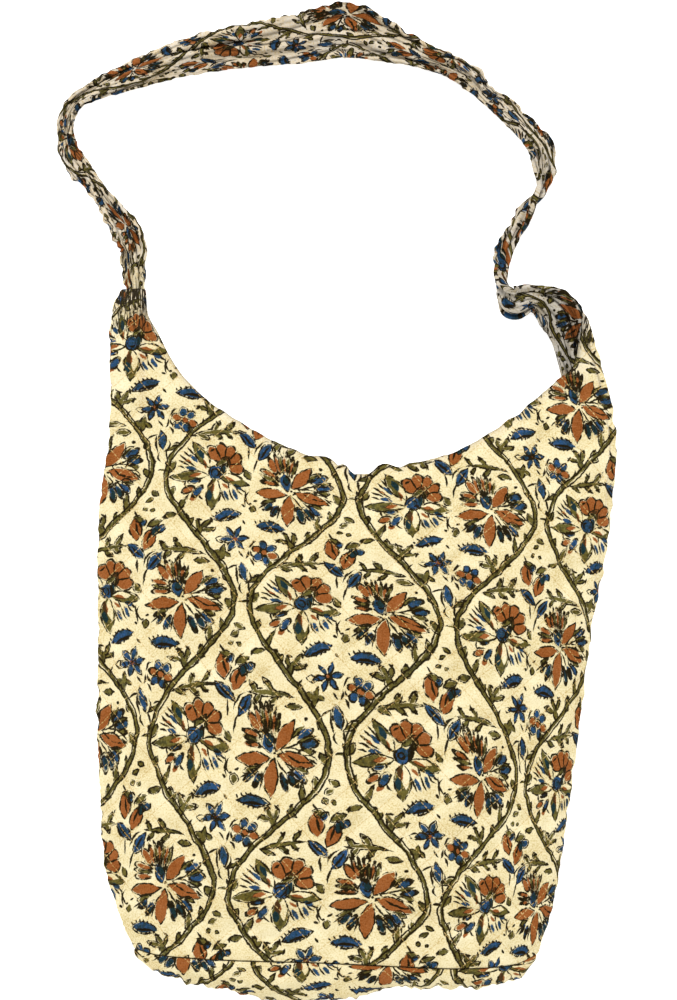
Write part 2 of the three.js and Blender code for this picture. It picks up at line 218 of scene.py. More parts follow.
# Crinkles: longest and shortest wave, and rise
CRINKLES = [(60, 30, 0.7), (24, 12, 0.34), (11, 7, 0.16)]
CRINKLE_WAVES = 14
CRINKLE_SEED = 5

# The print's repeat, in millimetres of flat cloth
REPEAT_WIDTH = 141.0
REPEAT_HEIGHT = 189.0
VINE_SWING = 30.0
VINE_EDGE = 1.3  # half the width of a vine's stem
STEM_STRAY = 6.0  # how far its drawn edges may stray from its fill
STEM_LINE = 1.55  # half the distance between those edges
LINE_HALF = 0.64  # half the width of a drawn line
LINE_BREAKS = (6.0, -2.2)  # how sharply the lines break off, and how often
LINE_FULLEST = 1.2
STRAP_LINE_HALF = 0.8
STROKE_PRESS = 0.15  # how much the ink of a stroke spreads
WOBBLE = (0.16, 2.6)  # wobbles of the print in a millimetre, and their reach
ROUGH_SCALE = 0.9  # rough places of an ink's edge in a millimetre
LOOSE_SCALE = 0.05  # places in a millimetre where lines and fills part
WORN_SCALE = 0.2  # breaks of the lines in a millimetre
LINE_STRAY = (3.4, 0.35)  # how far a line strays from its fill, and how far outside the fill it lies
LINE_ROUGH = (0.75, 0.4)  # reach of the rough places, and softness of the edge
FILL_ROUGH = (1.2, 0.5)
PRINT_TILT = -4.8
CELL_MIDDLE = (5.6, -78.4)
# Each block was laid by hand: flower, half repeats across and up from the middle block, and where the
# flower's middle is seen from above
BLOCKS = [
    ("A", -2, 2, -143.7, 109.7), ("A", -1, 1, -83.1, 19.8), ("A", 1, 1, 52.3, -2.3),
    ("A", 3, 1, 174.8, -19.6), ("A", -2, 0, -161.2, -65.3), ("A", 0, 0, -23.6, -73),
    ("A", 2, 0, 116.4, -94.5), ("A", -1, -1, -99.4, -164.5), ("A", 1, -1, 46.4, -179.7),
    ("A", 3, -1, 153.8, -199.5), ("A", 0, -2, -39.2, -273.5), ("A", 2, -2, 104.8, -285.8),
    ("B", -3, 1, -163.8, 20.3), ("B", -1, 1, -32.9, 5.8), ("B", 1, 1, 107.8, -7.7),
    ("B", 2, 2, 169.4, 66.5), ("B", -2, 0, -108, -67.7), ("B", 0, 0, 33.6, -81.7),
    ("B", 2, 0, 156.1, -102.7), ("B", -3, -1, -168.2, -165.7), ("B", -1, -1, -43.4, -178.5),
    ("B", 1, -1, 101.3, -193), ("B", -2, -2, -121.1, -269.5), ("B", 0, -2, 23.1, -278.6),
    ("B", 2, -2, 139.8, -284.7),
]
BASE_PRINT_PACE = 1.5  # how much of the print's length the base's gathers take up
BASE_PRINT_SHIFT = (46.0, -52.0)
BACK_PRINT_SHIFT = 37.0
# Where the print is pressed together by the gathers of a horn: seen x and y of its tip, reach and squeeze
HORN_SQUEEZE = [(-142, 150, 46, 2.2), (172, 138, 44, 2.6)]
HORN_HALF = 40.0  # half the width of the cloth that a horn gathers
HORN_POWER = 1.5  # how late the squeeze sets in
HORN_GATHER = 1.7
HEM_WIDTH = 6.0
HEM_GREY_SHADE = 0.6  # how far painted shade greys the hem's ground towards the strap's shaded ground
HEM_EDGE = 0.8  # width of the hem's shaded edge
# how dark the painted shade along the hem's edge is
HEM_SHADE = 0.6
BLOCK_EASE = 0.02  # how loosely the print follows those places

FLOWER_A = (-29.9, 4.5)
FLOWER_B = (30.3, -2.4)
# Feathered leaves: middle, direction in degrees, half length and half width
FEATHERS = [(-19.4, -27.2, 18, 10.6, 3.6), (13.6, -33.2, -5, 11.6, 3.7)]
TEETH = 6  # along each edge of a leaf
TEETH_SPAN = (-0.85, 0.65)  # shares of the half length between which the teeth stand
TOOTH = (1.1, 0.6)  # half length and half width
TOOTH_LEAN = 125  # degrees from the leaf's direction
TOOTH_OUT = 0.5  # how far a tooth's middle stands out from the edge
TOOTH_BACK = 1.0  # how far the teeth of one edge lie back, and those of the other forward
# Shapes by ink and outline: middle, direction in degrees, half length, half width and, where its ends bend,
# how far. A wash has no drawn outline; bare and clear leave out the olive ink, with an outline and without
SHAPES_A = {
    "blue oval": [
        (-0.2, 0.2, 0, 5.3, 5.1), (-15.2, -7.4, 12, 3.5, 1.6), (-12.1, -15, 58, 4.5, 2.2),
    ],
    "bare oval": [
        (-0.8, 0.2, 0, 2.6, 2.5),
    ],
    "olive leaf": [
        (-18.6, -3.2, 183, 13.4, 3.7), (-11, 12.9, 122, 12.2, 4), (15.2, -4.6, -9, 11.8, 3.9),
        (-0.6, -16.2, -91, 12.4, 5.2), (4.6, 9.4, 38, 6.2, 1.9), (9, 8.2, 80, 3.8, 1.5),
        (25.6, 1.6, -55, 4, 1.6),
    ],
    "clear leaf": [
        (-11.8, -2.4, 186, 7, 2.1), (-6.8, 8.6, 116, 6.4, 2.3), (12.6, -2.6, -8, 7.8, 2.4),
        (1.4, -12.6, -88, 8.4, 2.6),
    ],
    "rust wash leaf": [
        (-15.2, -2.6, 14, 4.9, 1.7), (-8.6, 6.2, 102, 4, 1.3), (10.8, -4.2, -14, 5, 1.6),
        (-2.2, -11.2, -82, 5.6, 2), (-21, 8.8, 148, 3.6, 1),
    ],
    "blue wash leaf": [
        (-11.8, 14.6, 118, 4.8, 2), (-3.4, -17.8, -84, 4.4, 2.3), (-16.6, 10.4, 132, 4.3, 1.5),
        (-17.8, 2.8, 170, 4.3, 1.6),
    ],
    "olive oval": [
        (5.6, 1.6, 80, 4.4, 1.7),
    ],
    "blue wash oval": [
        (5, 2.2, 76, 4.8, 2.2), (18.3, -9.4, -24, 3.8, 1.8), (16.3, -15.2, -62, 4, 1.6),
        (9.3, -17, -60, 4.1, 1.5),
    ],
    "black leaf": [
        (-18.7, 16.2, 128, 3.8, 0.65), (-21, 13.6, 133, 3.4, 0.65), (-23.6, 11, 138, 3, 0.7),
        (-23.4, 7.2, 150, 4.4, 0.65, 0.4), (-24.8, 4.2, 158, 2.8, 0.65, 0.4), (-18.6, 6.4, 150, 4.4, 0.6),
        (-21.6, -9.4, -80, 2.6, 0.6, 0.6), (-18.4, -11.2, 10, 3.6, 0.6, -0.6),
        (-10, -19.8, -50, 2.8, 0.6, 0.8), (10.6, -9.4, -76, 2.6, 0.6), (13.2, -16.4, -62, 4.6, 0.65, 0.5),
        (6.8, -17.6, -66, 4.4, 0.65, 0.5), (19, -13, -40, 3.6, 0.6, 0.5),
        (24.4, -17.2, -98, 5.8, 0.75, 1.8), (22.4, -11.8, -28, 2.6, 0.65, 0.4), (32.8, -18, 25, 1.9, 0.7),
    ],
    "rust oval": [
        (-19.1, -14.4, 24, 3.7, 2),
    ],
    "rust wash oval": [
        (-14.8, -20.4, 40, 2.5, 1.8), (8, -9.8, -40, 3, 1.2),
    ],
    "black oval": [
        (23.2, -23.2, -30, 1.4, 0.9), (28.6, -20.9, 0, 0.9, 0.7),
    ],
}
# The fan of flower A: middle of its ring, radius, first direction, step, lobes and their half sizes
FAN_MIDDLE = (5.2, 6.6)
FAN_RADIUS = 10.4
FAN_FIRST = 130.0
FAN_STEP = 34.0
FAN_LOBES = 5
FAN_LOBE = (6.2, 4.5)
FAN_LINE = (5.6, 0.6)
SHAPES_B = {
    "rust leaf": [
        (-15.3, -3.6, 184, 12.2, 4.1), (14.1, -4.6, -21, 12.2, 4.4), (-2.8, -15.9, -98, 12.8, 4.8, 0.8),
        (7.2, 11, 54, 10.4, 4.6),
    ],
    "bare leaf": [
        (16.2, -1.4, -21, 11.4, 3.4),
    ],
    "olive leaf": [
        (17.8, -10.9, -26, 4, 1.5), (15.4, 12.6, 40, 5.4, 1.6), (20.6, 7.6, 15, 5.6, 1.6),
        (17.2, -28, -84, 8.6, 1.7, 1.2),
    ],
    "blue leaf": [
        (-4.2, 7.4, 106, 7, 3.9),
    ],
    "olive oval": [
        (-3.4, 9, 100, 3.4, 2.2), (-8.2, 20.6, 105, 6.2, 1.2), (-3, 20, 91, 5.8, 1.2),
        (2.2, 18.2, 76, 5.4, 1.2), (-16.8, 8.4, 171, 5.8, 1.5), (21.3, 0.6, -5, 4.4, 2),
        (6.6, -19.4, -76, 4.6, 1.8), (11.8, -17.8, -62, 4, 1.5), (-16.6, -9.8, 24, 4.8, 1.7),
        (-17.4, -14.4, 44, 3.6, 1.3), (-12, -17.6, 62, 3.4, 1.4),
    ],
    "rust oval": [
        (-15, 18.8, 126, 6, 2.5), (-11, 20.2, 113, 6.2, 1.5), (-5.6, 20.6, 98, 6, 1.3),
        (-0.4, 18.8, 83, 5.4, 1.3), (-17.2, 11.8, 163, 5.6, 1.8), (-16.2, 5, 178, 5.4, 1.6),
    ],
    "blue oval": [
        (19.4, 11.4, 27, 5.2, 2.6), (22.6, 5, 6, 5.2, 2.5), (6, -18.6, -76, 5.8, 2.3),
        (11.4, -17.2, -62, 5.2, 2.2), (15.8, -14.8, -46, 4.8, 2.2), (-17, -14, 44, 4.6, 2),
        (-12.4, -17, 62, 5, 2.3),
    ],
    "black leaf": [
        (12.6, 4.8, 20, 5.6, 0.6), (24.9, -5.9, -45, 3.2, 0.7), (12.4, -12.6, -50, 6, 0.6),
        (-21.2, -14, 36, 4.4, 0.6), (-9.2, -18, 72, 5.6, 0.6), (5, -8.6, -56, 5.6, 0.6),
    ],
    "black oval": [
        (0.2, 1, 0, 0.9, 0.8), (2.4, -1.6, 0, 0.8, 0.7),
    ],
}
# Small flowers: middle, first direction, inks of the petals in turn, their outline, distance and half sizes
ROSETTES = [
    (-12.4, -45.4, 8, ("blue",), "leaf", 5.6, 4.6, 1.8),
    (8.8, -55.0, 38, ("blue", "blue", "rust"), "oval", 6.0, 3.2, 2.6),
]
ROSETTE_PETALS = 6
ROSETTE_HEART = 2.4
SHAPES_CELL = {
    "rust leaf": [
        (-6.6, 50, -83, 8.5, 4.7), (4.2, 42.2, -116, 8.8, 4.7),
    ],
    "olive leaf": [
        (-4.3, 57.6, -20, 4.2, 2.15), (8.2, 47.6, -110, 4.2, 2.2), (7.2, 54, 20, 5.2, 2.15),
        (-4.2, 5.8, -55, 3.8, 2.15), (0.8, -20, 80, 3, 2.15), (-21, -57.6, 80, 6.2, 2.15),
        (-23.8, -57.2, 150, 3.6, 2), (-17.4, -58.4, -40, 3, 1.45), (13, -65.4, 100, 5.4, 2.15),
        (2.4, -76.2, 14, 6.2, 1.45, -1.2), (-7.4, -95.6, 30, 4.6, 2.15), (-29.5, 37.1, 8, 15, 1.5, -1),
        (-29.6, 41.4, 60, 4.6, 1.45), (-19.3, 42.4, 50, 5.2, 1.45), (-28.4, 33.6, -36, 4.6, 1.45),
        (-20.8, 35.4, -48, 4.2, 1.45), (-39.6, 32.6, -24, 4.8, 1.45), (26.8, 33.6, 174, 14, 1.5, 1),
        (14.8, 37, 128, 4.6, 1.45), (25, 37.8, 128, 5, 1.45), (17.6, 30, -130, 4, 1.45),
        (28.2, 28.6, -140, 4.4, 1.45), (42.4, 25.2, 174, 5.2, 1.8), (-38.6, -41.6, 64, 6.6, 2),
        (-39.6, -35.8, 110, 4.4, 1.35), (-34, -35.4, 52, 5, 1.5), (-32.2, -39.4, 12, 5.2, 1.4),
        (-48.4, -33, 84, 5.6, 2.3), (17.6, 59.6, 190, 4.6, 2), (-45.6, -33.8, 50, 3.6, 2),
        (28.1, -48.5, 110, 6.6, 2), (21.8, -45, 165, 5.2, 1.45), (25.4, -41.8, 115, 5, 1.5),
        (30, -42.2, 72, 4.8, 1.45), (40.4, -41.2, 92, 5.4, 2.4), (-24, 57.6, -20, 4.6, 2),
        (57, -23.4, 102, 5.6, 1.7), (-62, 8.8, 58, 4.8, 2.15), (-61.4, -12.3, 64, 5.4, 2.3),
        (-52.8, -21.8, 62, 8.4, 1.7), (61.8, -7.4, 120, 4.8, 2.15), (60.2, 12.6, 130, 3, 1.45),
        (-0.5, 65.5, 20, 1.8, 1.25), (5.2, 64.2, 60, 1.6, 1.25), (5.8, 77, 150, 3.2, 1.55),
        (2.4, 72, 30, 2.8, 1.45),
    ],
    "blue oval": [
        (-1.2, 54.8, 60, 2.8, 1.9), (12.2, 49.3, 30, 3, 2.4),
    ],
    "black leaf": [
        (-5.6, 50, -76, 5.4, 0.82, 0.6), (-6.6, 61.6, -60, 3.2, 0.72), (3.6, 43.6, -112, 5, 0.82, 0.6),
        (4, 55, 52, 5.2, 0.72, -1), (-5.2, 32.8, -42, 6.4, 0.82), (-9, 32.6, -50, 5.6, 0.72),
        (-4.3, 23, -88, 5.2, 0.74), (8.3, 25, 55, 6, 0.82), (1.5, 14.8, 72, 6.2, 0.74, -0.8),
        (2.9, 28.9, 52, 6.4, 0.72, -1.8), (-17.6, -29, 16, 7.4, 1, -1), (14.6, -34.6, -6, 7.8, 1, -1),
        (-5.8, -31.6, -50, 2, 0.82), (-8, -57.4, -55, 2.8, 0.62), (-0.4, -48.6, 60, 3.4, 0.72),
        (-3, -57.4, 75, 3.2, 0.72, 0.6), (0, -62.7, -65, 3.2, 0.77, -0.6),
        (-11, -73.4, -85, 7.2, 0.72, 0.6), (-14.2, -67.2, 25, 4.2, 0.67, -0.8),
        (-3.1, -82.6, -85, 4.8, 0.67), (-3.6, -89, -70, 2.2, 1), (4.2, -73, 0, 3.2, 0.62, -0.6),
        (-32.3, -49.6, 62, 3.2, 0.72, -0.8), (0, -47.8, 50, 3.2, 0.65, -1.2),
        (-0.8, -57.4, -60, 3, 0.65, 1.2), (22.6, -55.6, 68, 2.8, 0.72, 0.8), (-33, 21.8, 30, 2.2, 0.67),
        (-5, -12.6, -70, 6, 0.7, 1.5), (-1.5, -76, 70, 4.5, 0.65, 2), (6.5, -79, -20, 4.5, 0.65, -2.2),
        (-9.5, -84, 100, 4, 0.65, -1.6),
    ],
    "blue leaf": [
        (8, 48.2, -110, 4.6, 2.8), (-5.6, 33.4, -42, 8.8, 3.4), (8.5, 25.4, 55, 8.2, 3.6),
        (-19.2, -27.4, 18, 10.4, 3.7, -0.8), (14.2, -33.2, -5, 11, 3.8, -1), (-6.6, -70.8, -80, 7.4, 2.6),
    ],
    "bare leaf": [
        (-22.6, -46.6, 172, 3.8, 1.7),
    ],
    "black oval": [
        (-28.6, 43.8, 125, 2, 0.8), (-17.2, 44.8, 115, 2, 0.8), (-26.6, 32, 29, 2, 0.8),
        (-19.4, 33.6, 17, 2, 0.8), (13.4, 38.8, 193, 2, 0.8), (23.4, 40, 193, 2, 0.8),
        (16.2, 28.4, -65, 2, 0.8), (26.2, 27, -75, 2, 0.8), (-38.8, -32.2, 165, 2, 0.8),
        (-30.4, -32, 111, 2, 0.8), (-27.6, -39, 75, 2, 0.8), (-48.2, -28.2, 150, 1.8, 0.8),
        (13.9, 58.9, 255, 1.8, 0.8), (18.6, -44.6, 230, 2, 0.8), (23.9, -38.4, 180, 2, 0.8),
        (30.8, -38, 137, 2, 0.8), (40.2, -36.4, 30, 1.8, 0.8), (50.6, 17.6, 0, 1.2, 1),
    ],
}


def lerp(start, end, share):
    return start + (end - start) * share


def ramp(value, start, end):
    """0 at the start, 1 at the end and even between them."""
    return np.clip((value - start) / (end - start), 0, 1)


def crowded_steps(count):
    """Shares from 0 to 1 that lie closer at both ends."""
    return (1 - np.cos(math.pi * np.arange(count + 1) / count)) / 2


def running(steps, axis):
    """Sums of steps so far, from 0."""
    return np.concatenate([np.zeros_like(np.take(steps, [0], axis)), np.cumsum(steps, axis)], axis)


def unit(vectors):
    return vectors / np.linalg.norm(vectors, axis=-1, keepdims=True)


def turned(x, y, degrees):
    cos = math.cos(math.radians(degrees))
    sin = math.sin(math.radians(degrees))
    return x * cos - y * sin, x * sin + y * cos


def crown_share(across, power):
    return (2 * np.sqrt(across * (1 - across))) ** power


def seam_height(across, y):
    return lerp(BODY.at("y", "left_seam", y), BODY.at("y", "right_seam", y), across)


def inside_x(across, y):
    left = BODY.at("y", "left", y) + PANEL_WALL
    right = BODY.at("y", "right", y) - PANEL_WALL
    return lerp(left, right, across)


def fold_height(x, y, folds):
    height = np.zeros(np.broadcast(x, y).shape)
    for fold_x, fold_y, degrees, length, width, rise in folds:
        along, beside = turned(x - fold_x, y - fold_y, -degrees)
        height += rise * np.exp(-((along / length) ** 2) - (beside / width) ** 2)
    return height


def points(x, y, z):
    return np.stack(np.broadcast_arrays(x, y, z), axis=-1)


def front_inside(across, y):
    power = lerp(LEFT_EDGE_POWER, RIGHT_EDGE_POWER, across)
    x = inside_x(across, y)
    crown = BODY.at("y", "crown", y) + fold_height(x, y, FOLDS)
    return points(x, y, seam_height(across, y) + SEAM_GAP / 2 + crown * crown_share(across, power))


def back_inside(across, y):
    seam = seam_height(across, y)
    drop = (seam + BACK_PRESS) * crown_share(across, BACK_EDGE_POWER)
    return points(inside_x(across, y), y, np.maximum(PANEL_WALL, seam - SEAM_GAP / 2 - drop))


def seam_distance(across, y):
    """How far a place on a panel is from the nearer side seam."""
    return np.minimum(across, 1 - across) * (inside_x(1, y) - inside_x(0, y))


def wall_direction(across, square, y):
    """Way from the inside of a wall to its outside: square to the cloth, and sideways at a side seam."""
    lean = np.clip(1 - seam_distance(across, y) / EDGE_ROUND, 0, 1) ** 2 * (math.pi / 2)
    sideways = points(np.where(across < 0.5, -1.0, 1.0), 0, 0)
    return square * np.cos(lean)[..., None] + sideways * np.sin(lean)[..., None]


def panel_direction(inside, across, y, up):
    before = inside(np.maximum(0, across - SLOPE_STEP), y)
    after = inside(np.minimum(1, across + SLOPE_STEP), y)
    square = points(before[..., 2] - after[..., 2], 0, after[..., 0] - before[..., 0]) * up
    return wall_direction(across, unit(square), y)


def rounded(distance, radius):
    """Share of a wall's thickness that is left near its edge, so that the edge is round."""
    share = np.sqrt(1 - (1 - np.clip(distance / radius, 0, 1)) ** 2)
    return np.maximum(share, RIM_THINNEST)


def quilting(cloth):
    """Height of the cloth over its stitched lines, which pull it in."""
    nearest = np.full(cloth.shape[:-1], QUILT_PITCH)
    for degrees, x, y in (QUILT_RISING, QUILT_FALLING):
        beside = turned(cloth[..., 0] - x, cloth[..., 1] - y, -degrees)[1]
        nearest = np.minimum(nearest, np.abs((beside + QUILT_PITCH / 2) % QUILT_PITCH - QUILT_PITCH / 2))
    return -QUILT_PUFF * np.exp(-((nearest / QUILT_REACH) ** 2))


def crinkles(cloth):
    """Small soft crinkles that the cloth keeps from washing and carrying: many waves of all directions."""
    draws = np.random.default_rng(CRINKLE_SEED)
    height = np.zeros(cloth.shape[:-1])
    for longest, shortest, rise in CRINKLES:
        for _ in range(CRINKLE_WAVES):
            angle = draws.uniform(0, 2 * math.pi)
            turns = 2 * math.pi / draws.uniform(shortest, longest)
            start = draws.uniform(0, 2 * math.pi)
            along = cloth[..., 0] * math.cos(angle) + cloth[..., 1] * math.sin(angle)
            height += rise / math.sqrt(CRINKLE_WAVES) * np.sin(turns * along + start)
    return height


class FlatCloth:
    """Places on the flat cloth of a panel: how far along its section each point is."""

    SECTIONS = 140
    STEPS = 260
    LOW = -330.0
    HIGH = 150.0

    def __init__(self, inside):
        across = crowded_steps(self.STEPS)
        y = np.linspace(self.LOW, self.HIGH, self.SECTIONS + 1)
        line = inside(across[None, :], y[:, None])
        lengths = running(np.hypot(np.diff(line[..., 0], axis=1), np.diff(line[..., 2], axis=1)), 1)
        middle = [np.interp(0, line[i, :, 0], lengths[i]) for i in range(len(y))]
        self.lengths = lengths - np.array(middle)[:, None]

    def at(self, across, y):
        column = np.arccos(np.clip(1 - 2 * across, -1, 1)) / math.pi * self.STEPS
        row = (np.clip(y, self.LOW, self.HIGH) - self.LOW) / (self.HIGH - self.LOW) * self.SECTIONS
        i = np.clip(row.astype(int), 0, self.SECTIONS - 1)
        j = np.clip(column.astype(int), 0, self.STEPS - 1)
        low = lerp(self.lengths[i, j], self.lengths[i, j + 1], column - j)
        high = lerp(self.lengths[i + 1, j], self.lengths[i + 1, j + 1], column - j)
        return points(lerp(low, high, row - i), y, 0)


def even_print(cloth):
    """Places in the even print, from the middle of a block, for places on flat cloth."""
    x, y = turned(cloth[..., 0] - CELL_MIDDLE[0], cloth[..., 1] - CELL_MIDDLE[1], -PRINT_TILT)
    return points(x, y, 0)


class SmoothBend:
    """A bend of the plane, as of a thin plate, that takes some places to others."""

    UNIT = 100.0

    def __init__(self, places, targets, ease):
        self.places = places / self.UNIT
        count = len(places)
        system = np.zeros((count + 3, count + 3))
        system[:count, :count] = self.pull(self.places) + ease * np.eye(count)
        system[:count, count:] = self.plane(self.places)
        system[count:, :count] = self.plane(self.places).T
        self.weights = np.linalg.solve(system, np.concatenate([targets, np.zeros((3, 2))]))

    def pull(self, places):
        square = ((places[:, None, :] - self.places[None, :, :]) ** 2).sum(axis=-1)
        return square * np.log(square + 1e-9) / 2

    def plane(self, places):
        return np.concatenate([np.ones((len(places), 1)), places], axis=1)

    def at(self, places):
        places = places / self.UNIT
        return np.concatenate([self.pull(places), self.plane(places)], axis=1) @ self.weights


def seen_from_above(place):
    """Where the camera sees points, on the plane of the bag's outline."""
    middle = np.array(VIEW_MIDDLE) / MM
    nearer = VIEW_DISTANCE / (VIEW_DISTANCE + OUTLINE_LEVEL - place[..., 2:] * MM)
    return middle + (place[..., :2] - middle) * nearer


def block_print(face, cloth):
    """Places in the even print for a panel on which each block was laid by hand."""
    seen = seen_from_above(face).reshape(-1, 2)
    flat = even_print(cloth)[..., :2].reshape(-1, 2)
    places = []
    targets = []
    for flower, across, up, x, y in BLOCKS:
        nearest = ((seen - (x, y)) ** 2).sum(axis=1).argmin()
        places.append(flat[nearest])
        flower_x, flower_y = turned(*(FLOWER_A if flower == "A" else FLOWER_B), -PRINT_TILT)
        targets.append((across * REPEAT_WIDTH / 2 + flower_x, up * REPEAT_HEIGHT / 2 + flower_y))
    bent = SmoothBend(np.array(places), np.array(targets), BLOCK_EASE).at(flat)
    for x, y, reach, squeeze in HORN_SQUEEZE:
        near = ramp(seen[:, 1], y - reach, y) ** HORN_POWER
        near = near * (np.abs(seen[:, 0] - x) < HORN_HALF)
        bent[:, 0] += (seen[:, 0] - x) * squeeze * near
    return points(bent[:, 0], bent[:, 1], 0).reshape(cloth.shape)


def front_shade_and_gather(face):
    """Painted shade and gathers of the front: its horns are gathered like the strap, and painted shade
    greys them and the hem, which turns away at the neckline.
    """
    tight = np.zeros(face.shape[:-1])
    worn_and_shaded = np.zeros(face.shape[:-1])
    for x, y, reach, _ in HORN_SQUEEZE:
        near = ramp(face[..., 1], y - reach, y)
        near = near * (np.abs(face[..., 0] - x) < HORN_HALF)
        tight += np.sqrt(near)
        # Painted shade greys the ground at the horns' gathered tips
        worn_and_shaded += near**2
    across, y, _, top = panel_grid(0)
    slope = np.gradient(top, inside_x(across[-1], top))
    hem = (top - y) / np.sqrt(1 + slope**2)
    # Painted shade greys the hem's ground where it turns away at the neckline
    worn_and_shaded += HEM_GREY_SHADE * np.clip(1 - hem / HEM_WIDTH, 0, 1)
    # Painted shade darkens the hem's very edge
    return points(np.clip(worn_and_shaded, 0, 1), -HEM_SHADE * np.exp(-((hem / HEM_EDGE) ** 2)), HORN_GATHER * tight)


def cloth_piece(name, face, reverse, cloth, prints, shade_and_gather, materials, printed_face=True):
    """A closed sheet of cloth from two grids of points in millimetres, joined along their edges."""
    rows, columns = face.shape[:2]
    layer = rows * columns
    number = np.arange(layer).reshape(rows, columns)
    quads = [number[:-1, :-1], number[:-1, 1:], number[1:, 1:], number[1:, :-1]]
    quads = np.stack(quads, axis=-1).reshape(-1, 4)
    rim = np.concatenate([number[0, :-1], number[:-1, -1], number[-1, :0:-1], number[:0:-1, 0]])
    onward = np.roll(rim, -1)
    border = np.stack([rim, layer + rim, layer + onward, onward], axis=-1)
    faces = np.concatenate([quads, quads[:, ::-1] + layer, border])
    corners = np.concatenate([face.reshape(-1, 3), reverse.reshape(-1, 3)]) * MM
    mesh = bpy.data.meshes.new(name)
    mesh.vertices.add(len(corners))
    mesh.vertices.foreach_set("co", corners.astype(np.float32).ravel())
    mesh.loops.add(faces.size)
    mesh.loops.foreach_set("vertex_index", faces.astype(np.int32).ravel())
    mesh.polygons.add(len(faces))
    mesh.polygons.foreach_set("loop_start", np.arange(0, faces.size, 4, dtype=np.int32))
    for material in materials:
        mesh.materials.append(material)
    plain = np.zeros(len(faces), dtype=np.int32)
    if len(materials) > 1:
        start = len(quads) if printed_face else 0
        plain[start : start + len(quads)] = 1
    mesh.polygons.foreach_set("material_index", plain)
    mesh.update(calc_edges=True)
    mesh.shade_smooth()
    for title, places in (("cloth", cloth), ("print", prints), ("shade_and_gather", shade_and_gather)):
        both = np.concatenate([places.reshape(-1, 3), places.reshape(-1, 3)])
        held = mesh.attributes.new(title, "FLOAT_VECTOR", "POINT")
        held.data.foreach_set("vector", both.astype(np.float32).ravel())
    piece = bpy.data.objects.new(name, mesh)
    bpy.context.scene.collection.objects.link(piece)
    return piece


def panel_grid(drop):
    """Share across and height of each point of a panel, with close rows at its rounded top edge."""
    across = crowded_steps(PANEL_COLUMNS)
    bottom = BASE_SEAM.at("across", "y", across)
    top = NECKLINE.at("across", "y", across) - drop
    calm = ramp(np.minimum(across, 1 - across), 0, NECK_CALM)
    top = top + NECK_RIPPLE * ruffle(inside_x(across, top), NECK_EDGE) * calm
    if drop == 0:
        top = top + np.interp(inside_x(across, top), *zip(*NECK_FRAY))
    low_rim = bottom + np.array(RIM_STEPS[::-1])[:, None]
    high_rim = top - np.array(RIM_STEPS)[:, None]
    shares = np.arange(1, PANEL_ROWS) / PANEL_ROWS
    middle = lerp(low_rim[-1], high_rim[0], shares[:, None])
    y = np.concatenate([low_rim, middle, high_rim])
    return np.broadcast_to(across, y.shape), y, bottom, top


def seam_ripple(across, y):
    """Small sideways puckers of the cloth at the side seams."""
    near = np.clip(1 - seam_distance(across, y) / SEAM_RIPPLE_REACH, 0, 1) ** 2
    return SEAM_RIPPLE * near * np.where(across < 0.5, ruffle(y, LEFT_SEAM), ruffle(y, RIGHT_SEAM))


def panel_faces(inside, up, drop, flat_cloth):
    across, y, bottom, top = panel_grid(drop)
    inner = inside(across, y)
    direction = panel_direction(inside, across, y, up)
    cloth = flat_cloth.at(across, y)
    edge = np.minimum(top - y, y - bottom)
    thin = rounded(edge, PANEL_WALL / 2) * rounded(seam_distance(across, y), PANEL_WALL / 2)
    calm = ramp(np.minimum(edge, seam_distance(across, y)), 0, PANEL_CALM)
    relief = quilting(cloth) + crinkles(cloth) * calm
    if up > 0:
        relief += fold_height(inner[..., 0], y, CREASES)
    else:
        relief = relief * ramp(inner[..., 2], PANEL_WALL, PANEL_WALL + BACK_CALM)
    middle = inner + direction * (PANEL_WALL / 2 + relief)[..., None]
    middle[..., 0] += seam_ripple(across, y)
    half = direction * (PANEL_WALL / 2 * thin)[..., None]
    return middle + half, middle - half, cloth


def base_faces():
    across, angle = np.meshgrid(crowded_steps(PANEL_COLUMNS), math.pi * crowded_steps(BASE_ROWS))
    seam_y = BASE_SEAM.at("across", "y", across)
    bulge = BASE_SEAM.at("across", "bulge", across)
    top = front_inside(across, seam_y)
    bottom = back_inside(across, seam_y)
    half_height = (top[..., 2] - bottom[..., 2]) / 2
    y = seam_y - BASE_GAP - bulge * np.sin(angle)
    z = bottom[..., 2] + half_height * (1 + np.cos(angle))
    square = unit(points(0 * y, -half_height * np.sin(angle), bulge * np.cos(angle)))
    direction = wall_direction(across, square, seam_y)
    inner = points(top[..., 0], y, z)
    down = running(np.hypot(np.diff(y, axis=0), np.diff(z, axis=0)), 0)
    shift_x, shift_y = BASE_PRINT_SHIFT
    cloth = points(top[..., 0] + shift_x, seam_y - BASE_PRINT_PACE * down + shift_y, 0)
    edge = np.minimum(down, down[-1] - down)
    thin = rounded(edge, PANEL_WALL / 2) * rounded(seam_distance(across, seam_y), PANEL_WALL / 2)
    calm = ramp(np.minimum(edge, seam_distance(across, seam_y)), 0, BASE_CALM)
    calm = calm * ramp(z, PANEL_WALL, PANEL_WALL + BASE_FLOOR_CALM)
    middle = inner + direction * (PANEL_WALL / 2 + crinkles(cloth) * calm)[..., None]
    middle[..., 0] += seam_ripple(across, seam_y)
    middle[..., 1] -= np.sin(angle) * ruffle(top[..., 0], BASE_EDGE)
    half = direction * (PANEL_WALL / 2 * thin)[..., None]
    return middle - half, middle + half, cloth


